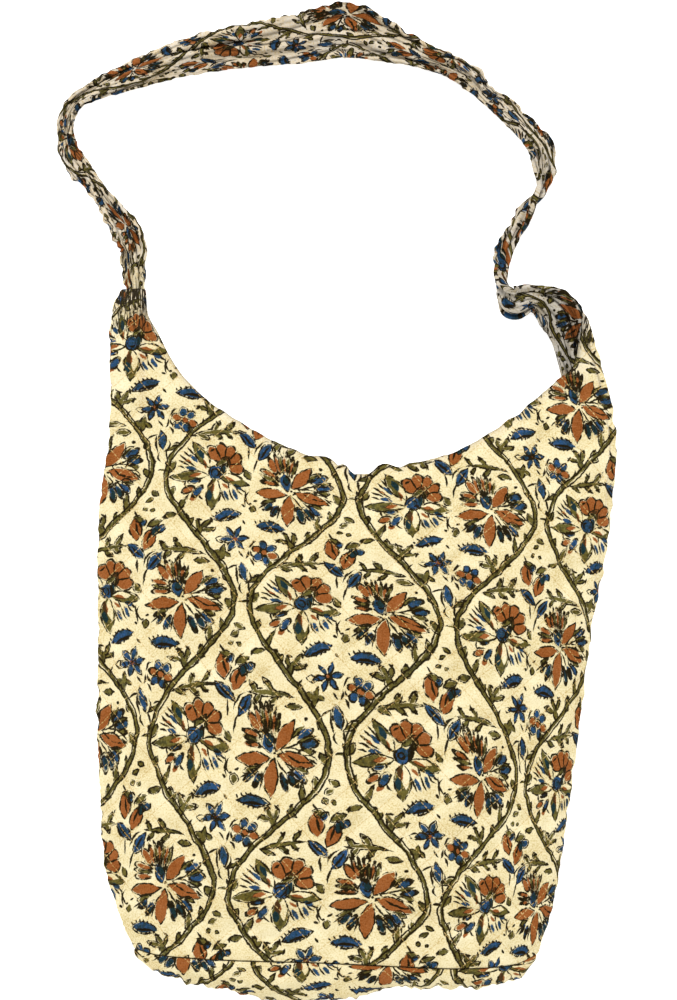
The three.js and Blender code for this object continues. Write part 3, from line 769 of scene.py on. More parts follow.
def route_point(share):
    """Point of a centripetal curve through the strap's stations, at shares of the way by station."""
    stations = np.array([row[:2] for row in STRAP_ROUTE], dtype=float)
    first = 2 * stations[0] - stations[1]
    last = 2 * stations[-1] - stations[-2]
    held = np.concatenate([[first], stations, [last]])
    place = np.clip(share, 0, 1) * (len(stations) - 1)
    i = np.clip(place.astype(int), 0, len(stations) - 2)
    t = (place - i)[:, None]
    p0, p1, p2, p3 = (held[i + k] for k in range(4))
    pairs = ((p0, p1), (p1, p2), (p2, p3))
    d0, d1, d2 = (np.sqrt(np.linalg.norm(b - a, axis=1))[:, None] for a, b in pairs)
    start = ((p1 - p0) / d0 - (p2 - p0) / (d0 + d1) + (p2 - p1) / d1) * d1
    end = ((p2 - p1) / d1 - (p3 - p1) / (d1 + d2) + (p3 - p2) / d2) * d1
    square = -3 * p1 + 3 * p2 - 2 * start - end
    cube = 2 * p1 - 2 * p2 + start + end
    return p1 + start * t + square * t**2 + cube * t**3


def gathered_lines(flat, swing, along):
    """Middles of the strap's sections across and up, and their tilts, at each step of the cloth's width."""
    steps = STRAP_COLUMNS * GATHER_STEPS
    share = np.arange(steps + 1)[None, :] / steps
    tilt = np.zeros((len(flat), steps + 1))
    for waves, part, drift, start in GATHERS:
        tilt += part * np.sin(2 * math.pi * (waves * share + start + drift * along[:, None]))
    tilt = tilt * swing[:, None]
    step = (flat / steps)[:, None]
    across = running(step * np.cos(tilt[:, :-1]), 1)
    height = running(step * np.sin(tilt[:, :-1]), 1)
    return across[:, ::GATHER_STEPS], height[:, ::GATHER_STEPS], tilt[:, ::GATHER_STEPS]


def ruffle(run, side):
    """How far a gathered edge stands out at each place along it."""
    draws = np.random.default_rng(RUFFLE_SEED + side)
    longest, shortest, reach = RUFFLE
    height = np.zeros(np.shape(run))
    for _ in range(RUFFLE_WAVES):
        turns = 2 * math.pi / draws.uniform(shortest, longest)
        height += reach / math.sqrt(RUFFLE_WAVES) * np.sin(turns * run + draws.uniform(0, 2 * math.pi))
    return height


def pleats(share, run):
    """Height of the strap's fine pleats, from -1 to 1."""
    height = 0
    for waves, part, wander, length in PLEATS:
        second = SECOND_WANDER[0] * np.sin(SECOND_WANDER[1] * run / length + waves)
        drift = wander * (np.sin(run / length) + second)
        height = height + part * np.sin(2 * math.pi * waves * share + drift)
    return height


def strap_swing(flat, span, along):
    """How far the strap's sections swing up and down to gather their flat cloth into their spans."""
    low = np.zeros(len(along))
    high = np.full(len(along), MOST_SWING)
    for _ in range(HALVINGS):
        swing = (low + high) / 2
        wide = np.ptp(gathered_lines(flat, swing, along)[0], axis=1) > span
        low = np.where(wide, swing, low)
        high = np.where(wide, high, swing)
    return (low + high) / 2


def strap_looks(place, run, seen, span):
    """Print, painted shade, gathers and height of the pleats, by station, length along the strap, share
    across and span.
    """
    under_horn = ramp(run, *STRAP_SHADOW)
    twist = np.clip(np.minimum(place - STRAP_TWIST[0], STRAP_TWIST[1] - place), 0, 1)
    eased = 1 - STRAP_TWIST_EASE * twist
    squeeze = np.minimum(STRAP_PRINT / span, STRAP_MOST_SQUEEZE) * (1 + STRAP_KNOT_SQUEEZE * under_horn)
    squeeze = squeeze * (1 + eased) / 2
    knot = ramp(place, *STRAP_KNOT_START)
    shift_x, shift_y = (first + more * knot for first, more in zip(STRAP_PRINT_SHIFT, STRAP_KNOT_SHIFT))
    prints = even_print(points(seen * span * squeeze + shift_x, shift_y - STRAP_PRINT_PACE * run, 0))
    height = pleats(seen + 0.5, run)
    # Painted shade greys the ground from the left horn on, more along the strap's second half and less in
    # the twist
    worn_and_shaded = ramp(run, 0, STRAP_BLEND) + ramp(run, *STRAP_GREY_SHADE) * eased
    # Painted shade in the depths of the pleats, and a painted shadow under the right horn
    painted_depth = np.minimum(height + PLEAT_FLAT, 0) - STRAP_SHADOW_DEPTH * under_horn
    tight = np.clip((STRAP_LOOSE - span) / (STRAP_LOOSE - STRAP_TIGHT), STRAP_LEAST_GATHER, 1)
    shade_and_gather = points(worn_and_shaded, painted_depth * eased, np.maximum(tight * eased, STRAP_KNOT_GATHER * under_horn))
    return prints, shade_and_gather, height


def strap_faces():
    along = np.arange(STRAP_ROWS + 1) / STRAP_ROWS
    place = along * (len(STRAP_ROUTE) - 1)
    flat, span, lift, roll = (STRAP.at("station", name, place) for name in ("flat", "span", "lift", "roll"))
    across, height, tilt = gathered_lines(flat, strap_swing(flat, span, along), along)
    flat, span, lift = (values[:, None] for values in (flat, span, lift))
    roll = np.radians(roll)[:, None]
    level = across * np.cos(roll) - height * np.sin(roll)
    raised = across * np.sin(roll) + height * np.cos(roll)
    tilt = tilt + roll
    centre = (level.min(axis=1) + level.max(axis=1))[:, None] / 2
    z = lift + STRAP_WALL / 2 + raised - raised.min(axis=1, keepdims=True)
    middle = route_point(along)
    heading = unit(route_point(along + ROUTE_STEP) - route_point(along - ROUTE_STEP))
    side_x = heading[:, 1:]
    side_y = -heading[:, :1]
    square = points(-np.sin(tilt) * side_x, -np.sin(tilt) * side_y, np.cos(tilt))
    run = running(np.linalg.norm(np.diff(middle, axis=0), axis=1), 0)[:, None]
    seen = across / np.ptp(across, axis=1, keepdims=True)
    seen = seen - (seen.min(axis=1, keepdims=True) + seen.max(axis=1, keepdims=True)) / 2
    prints, shade_and_gather, height = strap_looks(place[:, None], run, seen, span)
    cloth = points(seen * span, -run, 0)
    share = (np.arange(STRAP_COLUMNS + 1) / STRAP_COLUMNS)[None, :]
    edge = flat / 2 - np.abs(flat * (share - 0.5))
    thin = rounded(edge, STRAP_WALL / 2)
    calm = ramp(run, 0, STRAP_CALM[0]) * ramp(run[-1] - run, 0, STRAP_CALM[1])
    outer = -STRAP_RIPPLE[0] * ruffle(run, OUTER_EDGE)
    inner = STRAP_RIPPLE[1] * ruffle(run, INNER_EDGE)
    out = level - centre + np.where(seen < 0, outer, inner) * np.abs(2 * seen) ** STRAP_RIPPLE_POWER * calm
    line = points(middle[:, :1] + side_x * out, middle[:, 1:] + side_y * out, z)
    line = line + square * (PLEAT_RISE * height * calm)[..., None]
    half = square * (STRAP_WALL / 2 * thin)[..., None]
    return line + half, line - half, cloth, prints, shade_and_gather


class Nodes:
    """Writes shader arithmetic as the nodes of one tree."""

    def __init__(self, tree):
        self.tree = tree

    def feed(self, socket, value):
        if isinstance(value, bpy.types.NodeSocket):
            self.tree.links.new(value, socket)
        else:
            socket.default_value = value

    def add(self, kind, **settings):
        node = self.tree.nodes.new(kind)
        for name, value in settings.items():
            setattr(node, name, value)
        return node

    def math(self, operation, *values, clamp=False):
        node = self.add("ShaderNodeMath", operation=operation, use_clamp=clamp)
        for socket, value in zip(node.inputs, values):
            self.feed(socket, value)
        return node.outputs[0]

    def vector(self, operation, *values):
        node = self.add("ShaderNodeVectorMath", operation=operation)
        for socket, value in zip(node.inputs, values):
            self.feed(socket, value)
        return node.outputs["Vector"]

    def dot(self, vector, weights):
        node = self.add("ShaderNodeVectorMath", operation="DOT_PRODUCT")
        self.feed(node.inputs[0], vector)
        node.inputs[1].default_value = weights
        return node.outputs["Value"]

    def noise(self, vector, scale, detail=2.0, output="Fac"):
        node = self.add("ShaderNodeTexNoise", noise_dimensions="3D")
        self.feed(node.inputs["Vector"], vector)
        node.inputs["Scale"].default_value = scale
        node.inputs["Detail"].default_value = detail
        return node.outputs[output]

    def join(self, x, y, z):
        node = self.add("ShaderNodeCombineXYZ")
        for socket, value in zip(node.inputs, (x, y, z)):
            self.feed(socket, value)
        return node.outputs[0]

    def blend(self, share, first, second):
        """Mixes two colours."""
        node = self.add("ShaderNodeMix", data_type="RGBA")
        self.feed(node.inputs[0], share)
        self.feed(node.inputs[6], first)
        self.feed(node.inputs[7], second)
        return node.outputs[2]

    def choose(self, share, first, second):
        """Mixes two vectors."""
        node = self.add("ShaderNodeMix", data_type="VECTOR")
        self.feed(node.inputs[0], share)
        self.feed(node.inputs[4], first)
        self.feed(node.inputs[5], second)
        return node.outputs[1]

    def under(self, field, edge, soft):
        """1 where a field is under an edge and 0 over it, with a soft step."""
        return self.math("MULTIPLY_ADD", field, -1 / soft, 0.5 + edge / soft, clamp=True)


def shape_numbers(outline, origin, x, y, degrees, length, width, bend=0):
    """Numbers that measure a place in the even print along a shape, beside it and against its edge."""
    middle_x, middle_y = turned(origin[0] + x, origin[1] + y, -PRINT_TILT)
    cos, sin = turned(1, 0, degrees - PRINT_TILT)
    if outline == "oval":
        stretch = (math.sqrt(width / 2) / length, math.sqrt(0.5 / width))
        edge = -width / 2
    else:
        stretch = (math.sqrt(width) / length, 1)
        edge = -width
    along = (cos, sin, -(middle_x * cos + middle_y * sin))
    beside = (-sin, cos, middle_x * sin - middle_y * cos - bend)
    return {
        "kind": "bent leaf" if bend else outline,
        "along": [stretch[0] * part for part in along],
        "beside": [stretch[1] * part for part in beside],
        "edge": edge,
        "bend": -bend / width,
    }


def shape_fields(nodes, s, t, shapes):
    """Distances from the shapes of one ink, less than 0 inside them; each node measures three shapes."""
    field = None
    for kind in ("leaf", "bent leaf", "oval"):
        chosen = [shape for shape in shapes if shape["kind"] == kind]
        for first in range(0, len(chosen), 3):
            three = [chosen[min(first + k, len(chosen) - 1)] for k in range(3)]
            offsets = []
            for axis in ("along", "beside"):
                by_s, by_t, still = zip(*(one[axis] for one in three))
                offset = nodes.vector("MULTIPLY_ADD", t, by_t, still)
                offsets.append(nodes.vector("MULTIPLY_ADD", s, by_s, offset))
            along, beside = offsets
            distance = nodes.vector("MULTIPLY_ADD", along, along, tuple(one["edge"] for one in three))
            if kind == "oval":
                distance = nodes.vector("MULTIPLY_ADD", beside, beside, distance)
            else:
                if kind == "bent leaf":
                    bends = tuple(one["bend"] for one in three)
                    beside = nodes.vector("MULTIPLY_ADD", distance, bends, beside)
                distance = nodes.vector("ADD", nodes.vector("ABSOLUTE", beside), distance)
            field = distance if field is None else nodes.vector("MINIMUM", field, distance)
    split = nodes.add("ShaderNodeSeparateXYZ")
    nodes.feed(split.inputs[0], field)
    least = nodes.math("MINIMUM", split.outputs[0], split.outputs[1])
    return nodes.math("MINIMUM", least, split.outputs[2])


def ring_place(middle, radius, degrees):
    x, y = turned(radius, 0, degrees)
    return middle[0] + x, middle[1] + y


def fan_shapes():
    """The fan of flower A: lobes side by side on part of a ring, with a line between each two."""
    shapes = {"rust oval": [], "black leaf": []}
    for step in range(FAN_LOBES):
        degrees = FAN_FIRST - FAN_STEP * step
        shapes["rust oval"].append((*ring_place(FAN_MIDDLE, FAN_RADIUS, degrees), degrees, *FAN_LOBE))
        if step:
            degrees += FAN_STEP / 2
            shapes["black leaf"].append((*ring_place(FAN_MIDDLE, FAN_RADIUS, degrees), degrees, *FAN_LINE))
    return shapes


def rosette_shapes():
    shapes = {"rust oval": []}
    for x, y, first, petal_inks, outline, reach, length, width in ROSETTES:
        for step in range(ROSETTE_PETALS):
            degrees = first + 360 / ROSETTE_PETALS * step
            title = f"{petal_inks[step % len(petal_inks)]} {outline}"
            petal = (*ring_place((x, y), reach, degrees), degrees, length, width)
            shapes.setdefault(title, []).append(petal)
        shapes["rust oval"].append((x, y, 0, ROSETTE_HEART, ROSETTE_HEART))
    return shapes


def leaf_teeth():
    """Black teeth along both edges of the feathered leaves."""
    teeth = []
    for x, y, degrees, length, width in FEATHERS:
        for along in length * np.linspace(*TEETH_SPAN, TEETH):
            beside = width * (1 - (along / length) ** 2) + TOOTH_OUT
            for side in (1, -1):
                shift_x, shift_y = turned(along - side * TOOTH_BACK, side * beside, degrees)
                teeth.append((x + shift_x, y + shift_y, degrees + side * TOOTH_LEAN, *TOOTH))
    return {"black oval": teeth}


def charted_shapes(ink):
    """Numbers of all shapes of one ink."""
    charts = [(FLOWER_A, SHAPES_A), (FLOWER_A, fan_shapes()), (FLOWER_B, SHAPES_B)]
    charts += [((0, 0), shapes) for shapes in (SHAPES_CELL, rosette_shapes(), leaf_teeth())]
    return [
        shape_numbers(outline, origin, *row)
        for outline in ("leaf", "oval")
        for origin, shapes in charts
        for row in shapes.get(f"{ink} {outline}", [])
    ]


def print_group():
    """The print as a node group: how much of each ink lies at a place in the even print."""
    tree = bpy.data.node_groups.new("block_print", "ShaderNodeTree")
    tree.interface.new_socket("Print", in_out="INPUT", socket_type="NodeSocketVector")
    tree.interface.new_socket("Line", in_out="INPUT", socket_type="NodeSocketFloat")
    inks = ("Olive", "Rust", "Blue", "Black")
    for ink in inks:
        tree.interface.new_socket(ink, in_out="OUTPUT", socket_type="NodeSocketFloat")
    nodes = Nodes(tree)
    given = nodes.add("NodeGroupInput")
    place = given.outputs["Print"]
    half_line = given.outputs["Line"]
    wobble = nodes.vector("SUBTRACT", nodes.noise(place, WOBBLE[0], 3.0, "Color"), (0.5, 0.5, 0.5))
    shaken = nodes.add("ShaderNodeSeparateXYZ")
    nodes.feed(shaken.inputs[0], nodes.vector("MULTIPLY_ADD", wobble, (WOBBLE[1], WOBBLE[1], 0), place))
    x = shaken.outputs[0]
    y = shaken.outputs[1]
    half_width = REPEAT_WIDTH / 2
    half_height = REPEAT_HEIGHT / 2
    s1 = nodes.math("WRAP", x, half_width, -half_width)
    t1 = nodes.math("WRAP", y, half_height, -half_height)
    s2 = nodes.math("SUBTRACT", nodes.math("WRAP", x, REPEAT_WIDTH, 0.0), half_width)
    t2 = nodes.math("SUBTRACT", nodes.math("WRAP", y, REPEAT_HEIGHT, 0.0), half_height)
    phase = nodes.math("MULTIPLY", t1, 2 * math.pi / REPEAT_HEIGHT)
    reach = nodes.math("MULTIPLY_ADD", nodes.math("COSINE", phase), VINE_SWING, REPEAT_WIDTH / 4)
    edge = nodes.math("SUBTRACT", nodes.math("ABSOLUTE", s1), reach)
    slope = nodes.math("MULTIPLY", nodes.math("SINE", phase), VINE_SWING * 2 * math.pi / REPEAT_HEIGHT)
    steep = nodes.math("SQRT", nodes.math("MULTIPLY_ADD", slope, slope, 1.0))
    vine = nodes.math("DIVIDE", nodes.math("ABSOLUTE", edge), steep)
    inside = nodes.math("LESS_THAN", edge, 0.0)
    s = nodes.choose(inside, nodes.join(s2, s2, s2), nodes.join(s1, s1, s1))
    t = nodes.choose(inside, nodes.join(t2, t2, t2), nodes.join(t1, t1, t1))
    fields = {}
    for ink in ("olive", "rust", "blue", "bare", "black", "rust wash", "blue wash", "clear"):
        fields[ink] = shape_fields(nodes, s, t, charted_shapes(ink))
    rough = nodes.math("SUBTRACT", nodes.noise(place, ROUGH_SCALE), 0.5)
    loose = nodes.math("SUBTRACT", nodes.noise(place, LOOSE_SCALE, 1.0), 0.5)
    worn_and_shaded = nodes.noise(place, WORN_SCALE)
    strayed = nodes.math("MULTIPLY_ADD", loose, STEM_STRAY, nodes.math("DIVIDE", edge, steep))
    edges = nodes.math("ABSOLUTE", nodes.math("SUBTRACT", nodes.math("ABSOLUTE", strayed), STEM_LINE))
    edges = nodes.math("SUBTRACT", edges, half_line)
    line = None
    for ink in ("olive", "rust", "blue", "bare"):
        away = nodes.math("SUBTRACT", fields[ink], nodes.math("MULTIPLY_ADD", loose, *LINE_STRAY))
        away = nodes.math("ABSOLUTE", away)
        line = away if line is None else nodes.math("MINIMUM", line, away)
    pressed = nodes.math("MINIMUM", nodes.math("MULTIPLY_ADD", worn_and_shaded, *LINE_BREAKS), LINE_FULLEST)
    thick = nodes.math("MULTIPLY", pressed, half_line)
    strokes = nodes.math("ADD", fields["black"], LINE_HALF - STROKE_PRESS)
    strokes = nodes.math("SUBTRACT", strokes, half_line)
    drawn = nodes.math("MINIMUM", nodes.math("SUBTRACT", line, thick), strokes)
    drawn = nodes.math("MULTIPLY_ADD", rough, LINE_ROUGH[0], nodes.math("MINIMUM", drawn, edges))
    made = {"Black": nodes.under(drawn, 0.0, LINE_ROUGH[1])}
    stem = nodes.math("SUBTRACT", vine, VINE_EDGE)
    hollow = nodes.math("MULTIPLY", nodes.math("MINIMUM", fields["bare"], fields["clear"]), -1.0)
    olive = nodes.math("MAXIMUM", nodes.math("MINIMUM", fields["olive"], stem), hollow)
    rust = nodes.math("MINIMUM", fields["rust"], fields["rust wash"])
    blue = nodes.math("MINIMUM", fields["blue"], fields["blue wash"])
    for name, field in (("Olive", olive), ("Rust", rust), ("Blue", blue)):
        filled = nodes.math("MULTIPLY_ADD", rough, FILL_ROUGH[0], field)
        made[name] = nodes.under(filled, 0.0, FILL_ROUGH[1])
    out = nodes.add("NodeGroupOutput")
    for ink in inks:
        nodes.feed(out.inputs[ink], made[ink])
    return tree


def colour(red, green, blue):
    """A shader colour from the 0 to 255 values of a picture."""
    levels = [level / 255 for level in (red, green, blue)]
    linear = [v / 12.92 if v <= 0.04045 else ((v + 0.055) / 1.055) ** 2.4 for v in levels]
    return (*linear, 1.0)


CREAM = colour(217, 206, 165)
CREAM_DEEP = colour(198, 176, 126)
# The strap's grounds are greyer than the cream because of painted shade, and STRAP_SHADE is a darker
# painted shade
STRAP_SHADED_GROUND = colour(206, 192, 167)
STRAP_SHADED_DEEP = colour(172, 157, 130)
STRAP_SHADE = colour(182, 176, 164)
OLIVE = colour(92, 83, 36)
OLIVE_DEEP = colour(60, 56, 26)
RUST = colour(133, 76, 34)
BLUE = colour(32, 63, 93)
BROWN = colour(62, 42, 20)
TEAL = colour(22, 42, 44)
BLACK = colour(28, 21, 5)
# The quilting thread's own colour, darkened by painted shade of the stitched lines
THREAD_AND_SHADE = colour(188, 158, 98)
STREAK = colour(40, 34, 21)
OLIVE_MOTTLE = 0.3  # dark places of the olive ink in a millimetre
GRAIN_SCALE = 0.85  # grains of the cloth in a millimetre
PLEAT_SHADE = 0.75  # how much darker the cloth is in the depth of a pleat
THREAD_PITCH = 0.62  # millimetres between the threads of the weave
STAIN_SCALE = 0.055  # stains in a millimetre
SPECKLE = 1.4  # how strongly the grain and the stains shade the cloth
STAINING = 1.0
MOTTLE_POWERS = (0.7, 1.0, 1.7)  # for red, green and blue, so that darker places are warmer
PATCHES = (0.9, -1.87)  # how sharply, and how seldom, the ground turns deeper
STREAK_SCALE = (1.4, 0.12, 0)  # streaks in a millimetre across and along the gathers
STREAK_EDGE = (-0.22, 0.76)  # how tightness lowers the edge of the noise that is a streak, and that edge
STREAK_SHARPNESS = 14.0
SLUBS = (1.9, 0.16)  # slubs in a millimetre across a thread and along it
STITCH_STEP = 3.4  # millimetres from one stitch to the next
STITCH_LENGTH = (1.15, 0.35)  # half of it, and width of its soft edge
STITCH_WIDTH = (0.3, 0.25)
STITCH_SHOWN = 1.3  # how much of the thread shows, by the grain
DEEPER = (1.1, 0.6, 2.4)  # parts of stains, slubs and grain in where the ground turns deeper
FADE = (-0.16, 1.16)  # how slubs take up less ink
LEAFY = (5.0, -2.2)  # how sharply, and how seldom, the olive ink turns darker
TEAL_PART = 0.75  # how far the blue ink turns to teal in the same places
WEAVE_RISE = 0.03  # heights of the relief in millimetres
SLUB_RISE = 0.08
GRAIN_RISE = 0.08
STITCH_RISE = 0.12
BUMP = 0.8
SHEEN = 0.05
ROUGHNESS = (0.1, 0.8)  # what the slubs add to it, and its least


def weave_height(nodes, cloth):
    """Height of a plain weave: threads of both ways go over and under each other."""
    split = nodes.add("ShaderNodeSeparateXYZ")
    nodes.feed(split.inputs[0], cloth)
    turns = [nodes.math("MULTIPLY", split.outputs[axis], math.pi / THREAD_PITCH) for axis in (0, 1)]
    return nodes.math("MULTIPLY", *(nodes.math("SINE", turn) for turn in turns))


def slubs(nodes, cloth):
    """Thick and thin places of the threads, long along each way of the weave."""
    fine, drawn_out = SLUBS
    scales = ((fine, drawn_out, 1), (drawn_out, fine, 1))
    ways = [nodes.vector("MULTIPLY", cloth, scale) for scale in scales]
    return nodes.math("ADD", *(nodes.noise(way, 1.0) for way in ways))


def streaks(nodes, cloth, gathered):
    """Thin dark lines that the print becomes along the pleats of gathered cloth."""
    drawn_out = nodes.vector("MULTIPLY", cloth, STREAK_SCALE)
    found = nodes.noise(drawn_out, 1.0, 3.0)
    over = nodes.math("SUBTRACT", found, nodes.math("MULTIPLY_ADD", gathered, *STREAK_EDGE))
    return nodes.math("MULTIPLY", over, STREAK_SHARPNESS, clamp=True)


def stitch_lines(nodes, cloth):
    """Where the quilting's running stitches lie: 1 on a stitch."""
    found = None
    for degrees, x, y in (QUILT_RISING, QUILT_FALLING):
        cos, sin = turned(1, 0, degrees)
        lifted = nodes.vector("ADD", cloth, (-x, -y, 0))
        beside = nodes.math("WRAP", nodes.dot(lifted, (-sin, cos, 0)), QUILT_PITCH / 2, -QUILT_PITCH / 2)
        along = nodes.math("WRAP", nodes.dot(lifted, (cos, sin, 0)), STITCH_STEP / 2, -STITCH_STEP / 2)
        line = nodes.under(nodes.math("ABSOLUTE", beside), *STITCH_WIDTH)
        dash = nodes.under(nodes.math("ABSOLUTE", along), *STITCH_LENGTH)
        stitch = nodes.math("MULTIPLY", line, dash)
        found = stitch if found is None else nodes.math("MAXIMUM", found, stitch)
    return found


def cotton(name, line_half, inks=None, quilted=False):
    """Cotton cloth: its ground colour with painted shade, a print, quilting stitches and a weave."""
    material = bpy.data.materials.new(name)
    material.use_nodes = True
    tree = material.node_tree
    tree.nodes.clear()
    nodes = Nodes(tree)
    place = nodes.add("ShaderNodeAttribute", attribute_name="cloth").outputs["Vector"]
    printed = nodes.add("ShaderNodeAttribute", attribute_name="print").outputs["Vector"]
    # The shade and gather attribute holds painted shade that greys the ground, painted shade that darkens
    # the cloth, and how tightly the cloth is gathered
    shade_and_gather = nodes.add("ShaderNodeSeparateXYZ")
    nodes.feed(shade_and_gather.inputs[0], nodes.add("ShaderNodeAttribute", attribute_name="shade_and_gather").outputs["Vector"])
    worn_and_shaded, painted_shade, gathered = shade_and_gather.outputs
    slub = slubs(nodes, place)
    stain = nodes.noise(place, STAIN_SCALE, 3.0)
    grain = nodes.noise(place, GRAIN_SCALE, 1.0)
    # Painted shade greys the cream ground towards the strap's shaded ground, and past 1 towards a darker
    # painted shade
    shaded_ground = nodes.math("ADD", worn_and_shaded, 0.0, clamp=True)
    ground = nodes.blend(shaded_ground, CREAM, STRAP_SHADED_GROUND)
    ground = nodes.blend(nodes.math("SUBTRACT", worn_and_shaded, 1.0, clamp=True), ground, STRAP_SHADE)
    by_stain, by_slub, by_grain = DEEPER
    patchy = nodes.math("MULTIPLY_ADD", stain, by_stain, nodes.math("MULTIPLY", slub, by_slub))
    patchy = nodes.math("MULTIPLY_ADD", grain, by_grain, patchy)
    patchy = nodes.math("MULTIPLY_ADD", patchy, *PATCHES, clamp=True)
    deep_ground = nodes.blend(shaded_ground, CREAM_DEEP, STRAP_SHADED_DEEP)
    base = nodes.blend(patchy, ground, deep_ground)
    if inks:
        laid = nodes.add("ShaderNodeGroup", node_tree=inks)
        nodes.feed(laid.inputs["Print"], printed)
        laid.inputs["Line"].default_value = line_half
        fade = nodes.math("MULTIPLY_ADD", slub, *FADE, clamp=True)
        olive = laid.outputs["Olive"]
        leafy = nodes.noise(printed, OLIVE_MOTTLE, 1.0)
        leafy = nodes.math("MULTIPLY_ADD", leafy, *LEAFY, clamp=True)
        teal = nodes.math("MAXIMUM", olive, nodes.math("MULTIPLY", leafy, TEAL_PART))
        tones = {
            "Olive": nodes.blend(leafy, OLIVE, OLIVE_DEEP),
            "Rust": nodes.blend(olive, RUST, BROWN),
            "Blue": nodes.blend(teal, BLUE, TEAL),
            "Black": BLACK,
        }
        for ink, tone in tones.items():
            base = nodes.blend(nodes.math("MULTIPLY", laid.outputs[ink], fade), base, tone)
    height = nodes.math("MULTIPLY", slub, SLUB_RISE)
    height = nodes.math("MULTIPLY_ADD", weave_height(nodes, place), WEAVE_RISE, height)
    height = nodes.math("MULTIPLY_ADD", grain, GRAIN_RISE, height)
    if quilted:
        stitch = stitch_lines(nodes, place)
        shown = nodes.math("MULTIPLY", grain, STITCH_SHOWN, clamp=True)
        # Stitches in the thread's colour, which includes painted shade of the stitched lines
        base = nodes.blend(nodes.math("MULTIPLY", stitch, shown), base, THREAD_AND_SHADE)
        height = nodes.math("MULTIPLY_ADD", stitch, STITCH_RISE, height)
    base = nodes.blend(streaks(nodes, place, gathered), base, STREAK)
    # Painted shade: the cloth is darker in the depths of pleats, under the right horn and along the hem's
    # edge
    shade_factor = nodes.math("MULTIPLY_ADD", painted_shade, PLEAT_SHADE, 1.0, clamp=True)
    mottle = nodes.math("MULTIPLY_ADD", grain, SPECKLE, nodes.math("MULTIPLY", stain, STAINING))
    mottle = nodes.math("ADD", mottle, 1 - (SPECKLE + STAINING) / 2)
    shades = [nodes.math("MULTIPLY", nodes.math("POWER", mottle, power), shade_factor) for power in MOTTLE_POWERS]
    base = nodes.vector("MULTIPLY", base, nodes.join(*shades))
    bump = nodes.add("ShaderNodeBump")
    bump.inputs["Strength"].default_value = BUMP
    bump.inputs["Distance"].default_value = MM
    nodes.feed(bump.inputs["Height"], height)
    shader = nodes.add("ShaderNodeBsdfPrincipled")
    nodes.feed(shader.inputs["Base Color"], base)
    shader.inputs["Specular IOR Level"].default_value = SHEEN
    nodes.feed(shader.inputs["Roughness"], nodes.math("MULTIPLY_ADD", slub, *ROUGHNESS))
    nodes.feed(shader.inputs["Normal"], bump.outputs[0])
    out = nodes.add("ShaderNodeOutputMaterial")
    nodes.feed(out.inputs["Surface"], shader.outputs[0])
    return material


def dress(piece, node):
    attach(piece, "root")
    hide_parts(node)


inks = print_group()
body_cotton = cotton("body_cotton", LINE_HALF, inks, quilted=True)
strap_cotton = cotton("strap_cotton", STRAP_LINE_HALF, inks)
inner_cotton = cotton("inner_cotton", LINE_HALF, quilted=True)

outside, inside, cloth = panel_faces(front_inside, 1, 0, FlatCloth(front_inside))
prints = block_print(outside, cloth)
shade_and_gather = front_shade_and_gather(outside)
front = cloth_piece("front_cloth", outside, inside, cloth, prints, shade_and_gather, [body_cotton, inner_cotton])
dress(
    front,
    "front_panel",
)

outside, inside, cloth = panel_faces(back_inside, -1, BACK_NECKLINE_DROP, FlatCloth(back_inside))
cloth[..., 0] = BACK_PRINT_SHIFT - cloth[..., 0]
prints = even_print(cloth)
shade_and_gather = np.zeros(cloth.shape)
back = cloth_piece("back_cloth", inside, outside, cloth, prints, shade_and_gather, [body_cotton, inner_cotton], False)
dress(back, "back_panel")

inside, outside, cloth = base_faces()
prints = even_print(cloth)
shade_and_gather = np.zeros(cloth.shape)
base = cloth_piece("base_cloth", inside, outside, cloth, prints, shade_and_gather, [body_cotton, inner_cotton], False)
dress(
    base,
    "base_panel",
)

face, reverse, cloth, prints, shade_and_gather = strap_faces()
strap = cloth_piece("strap_cloth", face, reverse, cloth, prints, shade_and_gather, [strap_cotton])
dress(strap, "strap")

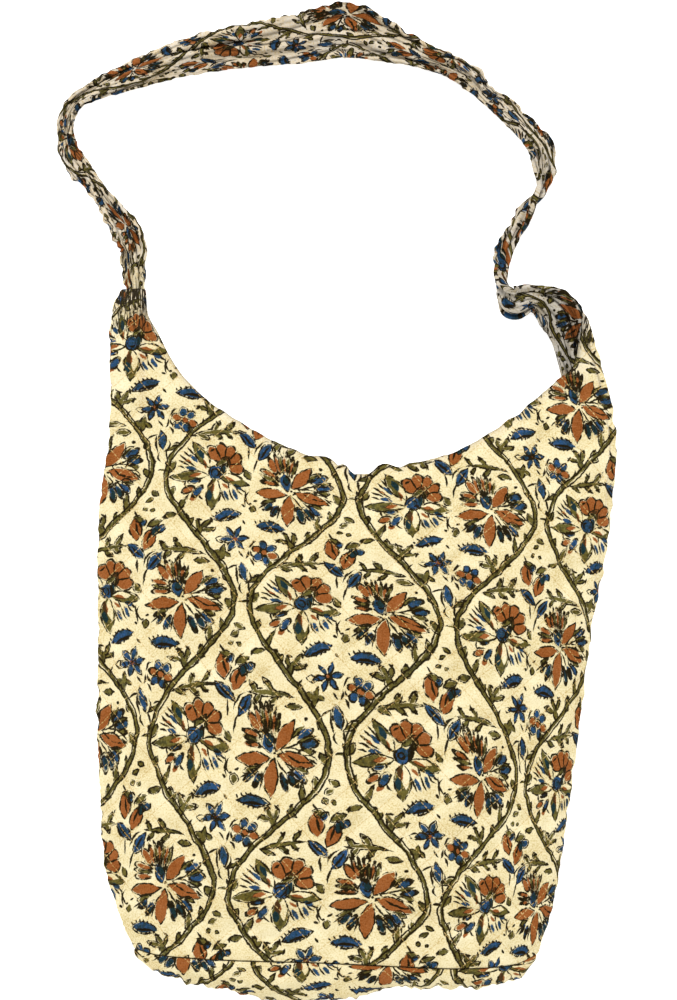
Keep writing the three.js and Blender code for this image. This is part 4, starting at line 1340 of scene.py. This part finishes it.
# A white floor, far larger than the view
FLOOR_HALF = 6.0
FLOOR_LOOK = {
    "Base Color": (0.97, 0.97, 0.97, 1),
    "Roughness": 0.9,
    "Emission Color": (1, 1, 1, 1),
    "Emission Strength": 0.55,
    "Specular IOR Level": 0.0,
}
floor_mesh = bpy.data.meshes.new("floor")
floor_corners = [(x * FLOOR_HALF, y * FLOOR_HALF, 0) for x, y in ((-1, -1), (1, -1), (1, 1), (-1, 1))]
floor_mesh.from_pydata(floor_corners, [], [(0, 1, 2, 3)])
floor = bpy.data.objects.new("floor", floor_mesh)
bpy.context.scene.collection.objects.link(floor)
floor_material = bpy.data.materials.new("floor")
floor_material.use_nodes = True
floor_shader = floor_material.node_tree.nodes["Principled BSDF"]
for name, value in FLOOR_LOOK.items():
    floor_shader.inputs[name].default_value = value
floor_mesh.materials.append(floor_material)

# Even white light from all round, and a soft light from high over the strap and a little to the left
SKY_STRENGTH = 0.92
WINDOW_STRENGTH = 1.9
WINDOW_SOFTNESS = 24.0  # degrees, as the turn
WINDOW_TURN = (-24.0, -6.0, 0.0)
world = bpy.data.worlds.new("studio")
bpy.context.scene.world = world
world.use_nodes = True
world.node_tree.nodes["Background"].inputs["Color"].default_value = (1, 1, 1, 1)
world.node_tree.nodes["Background"].inputs["Strength"].default_value = SKY_STRENGTH
lamp_data = bpy.data.lights.new("window", "SUN")
lamp_data.energy = WINDOW_STRENGTH
lamp_data.angle = math.radians(WINDOW_SOFTNESS)
lamp = bpy.data.objects.new("window", lamp_data)
lamp.rotation_euler = [math.radians(degrees) for degrees in WINDOW_TURN]
bpy.context.scene.collection.objects.link(lamp)

camera_data = bpy.data.cameras.new("camera")
camera_data.sensor_width = 36
camera_data.lens = camera_data.sensor_width * VIEW_DISTANCE / VIEW_HEIGHT
camera = bpy.data.objects.new("camera", camera_data)
camera.location = (*VIEW_MIDDLE, VIEW_DISTANCE + OUTLINE_LEVEL)
bpy.context.scene.collection.objects.link(camera)
bpy.context.scene.camera = camera
bpy.context.scene.view_settings.view_transform = "Standard"
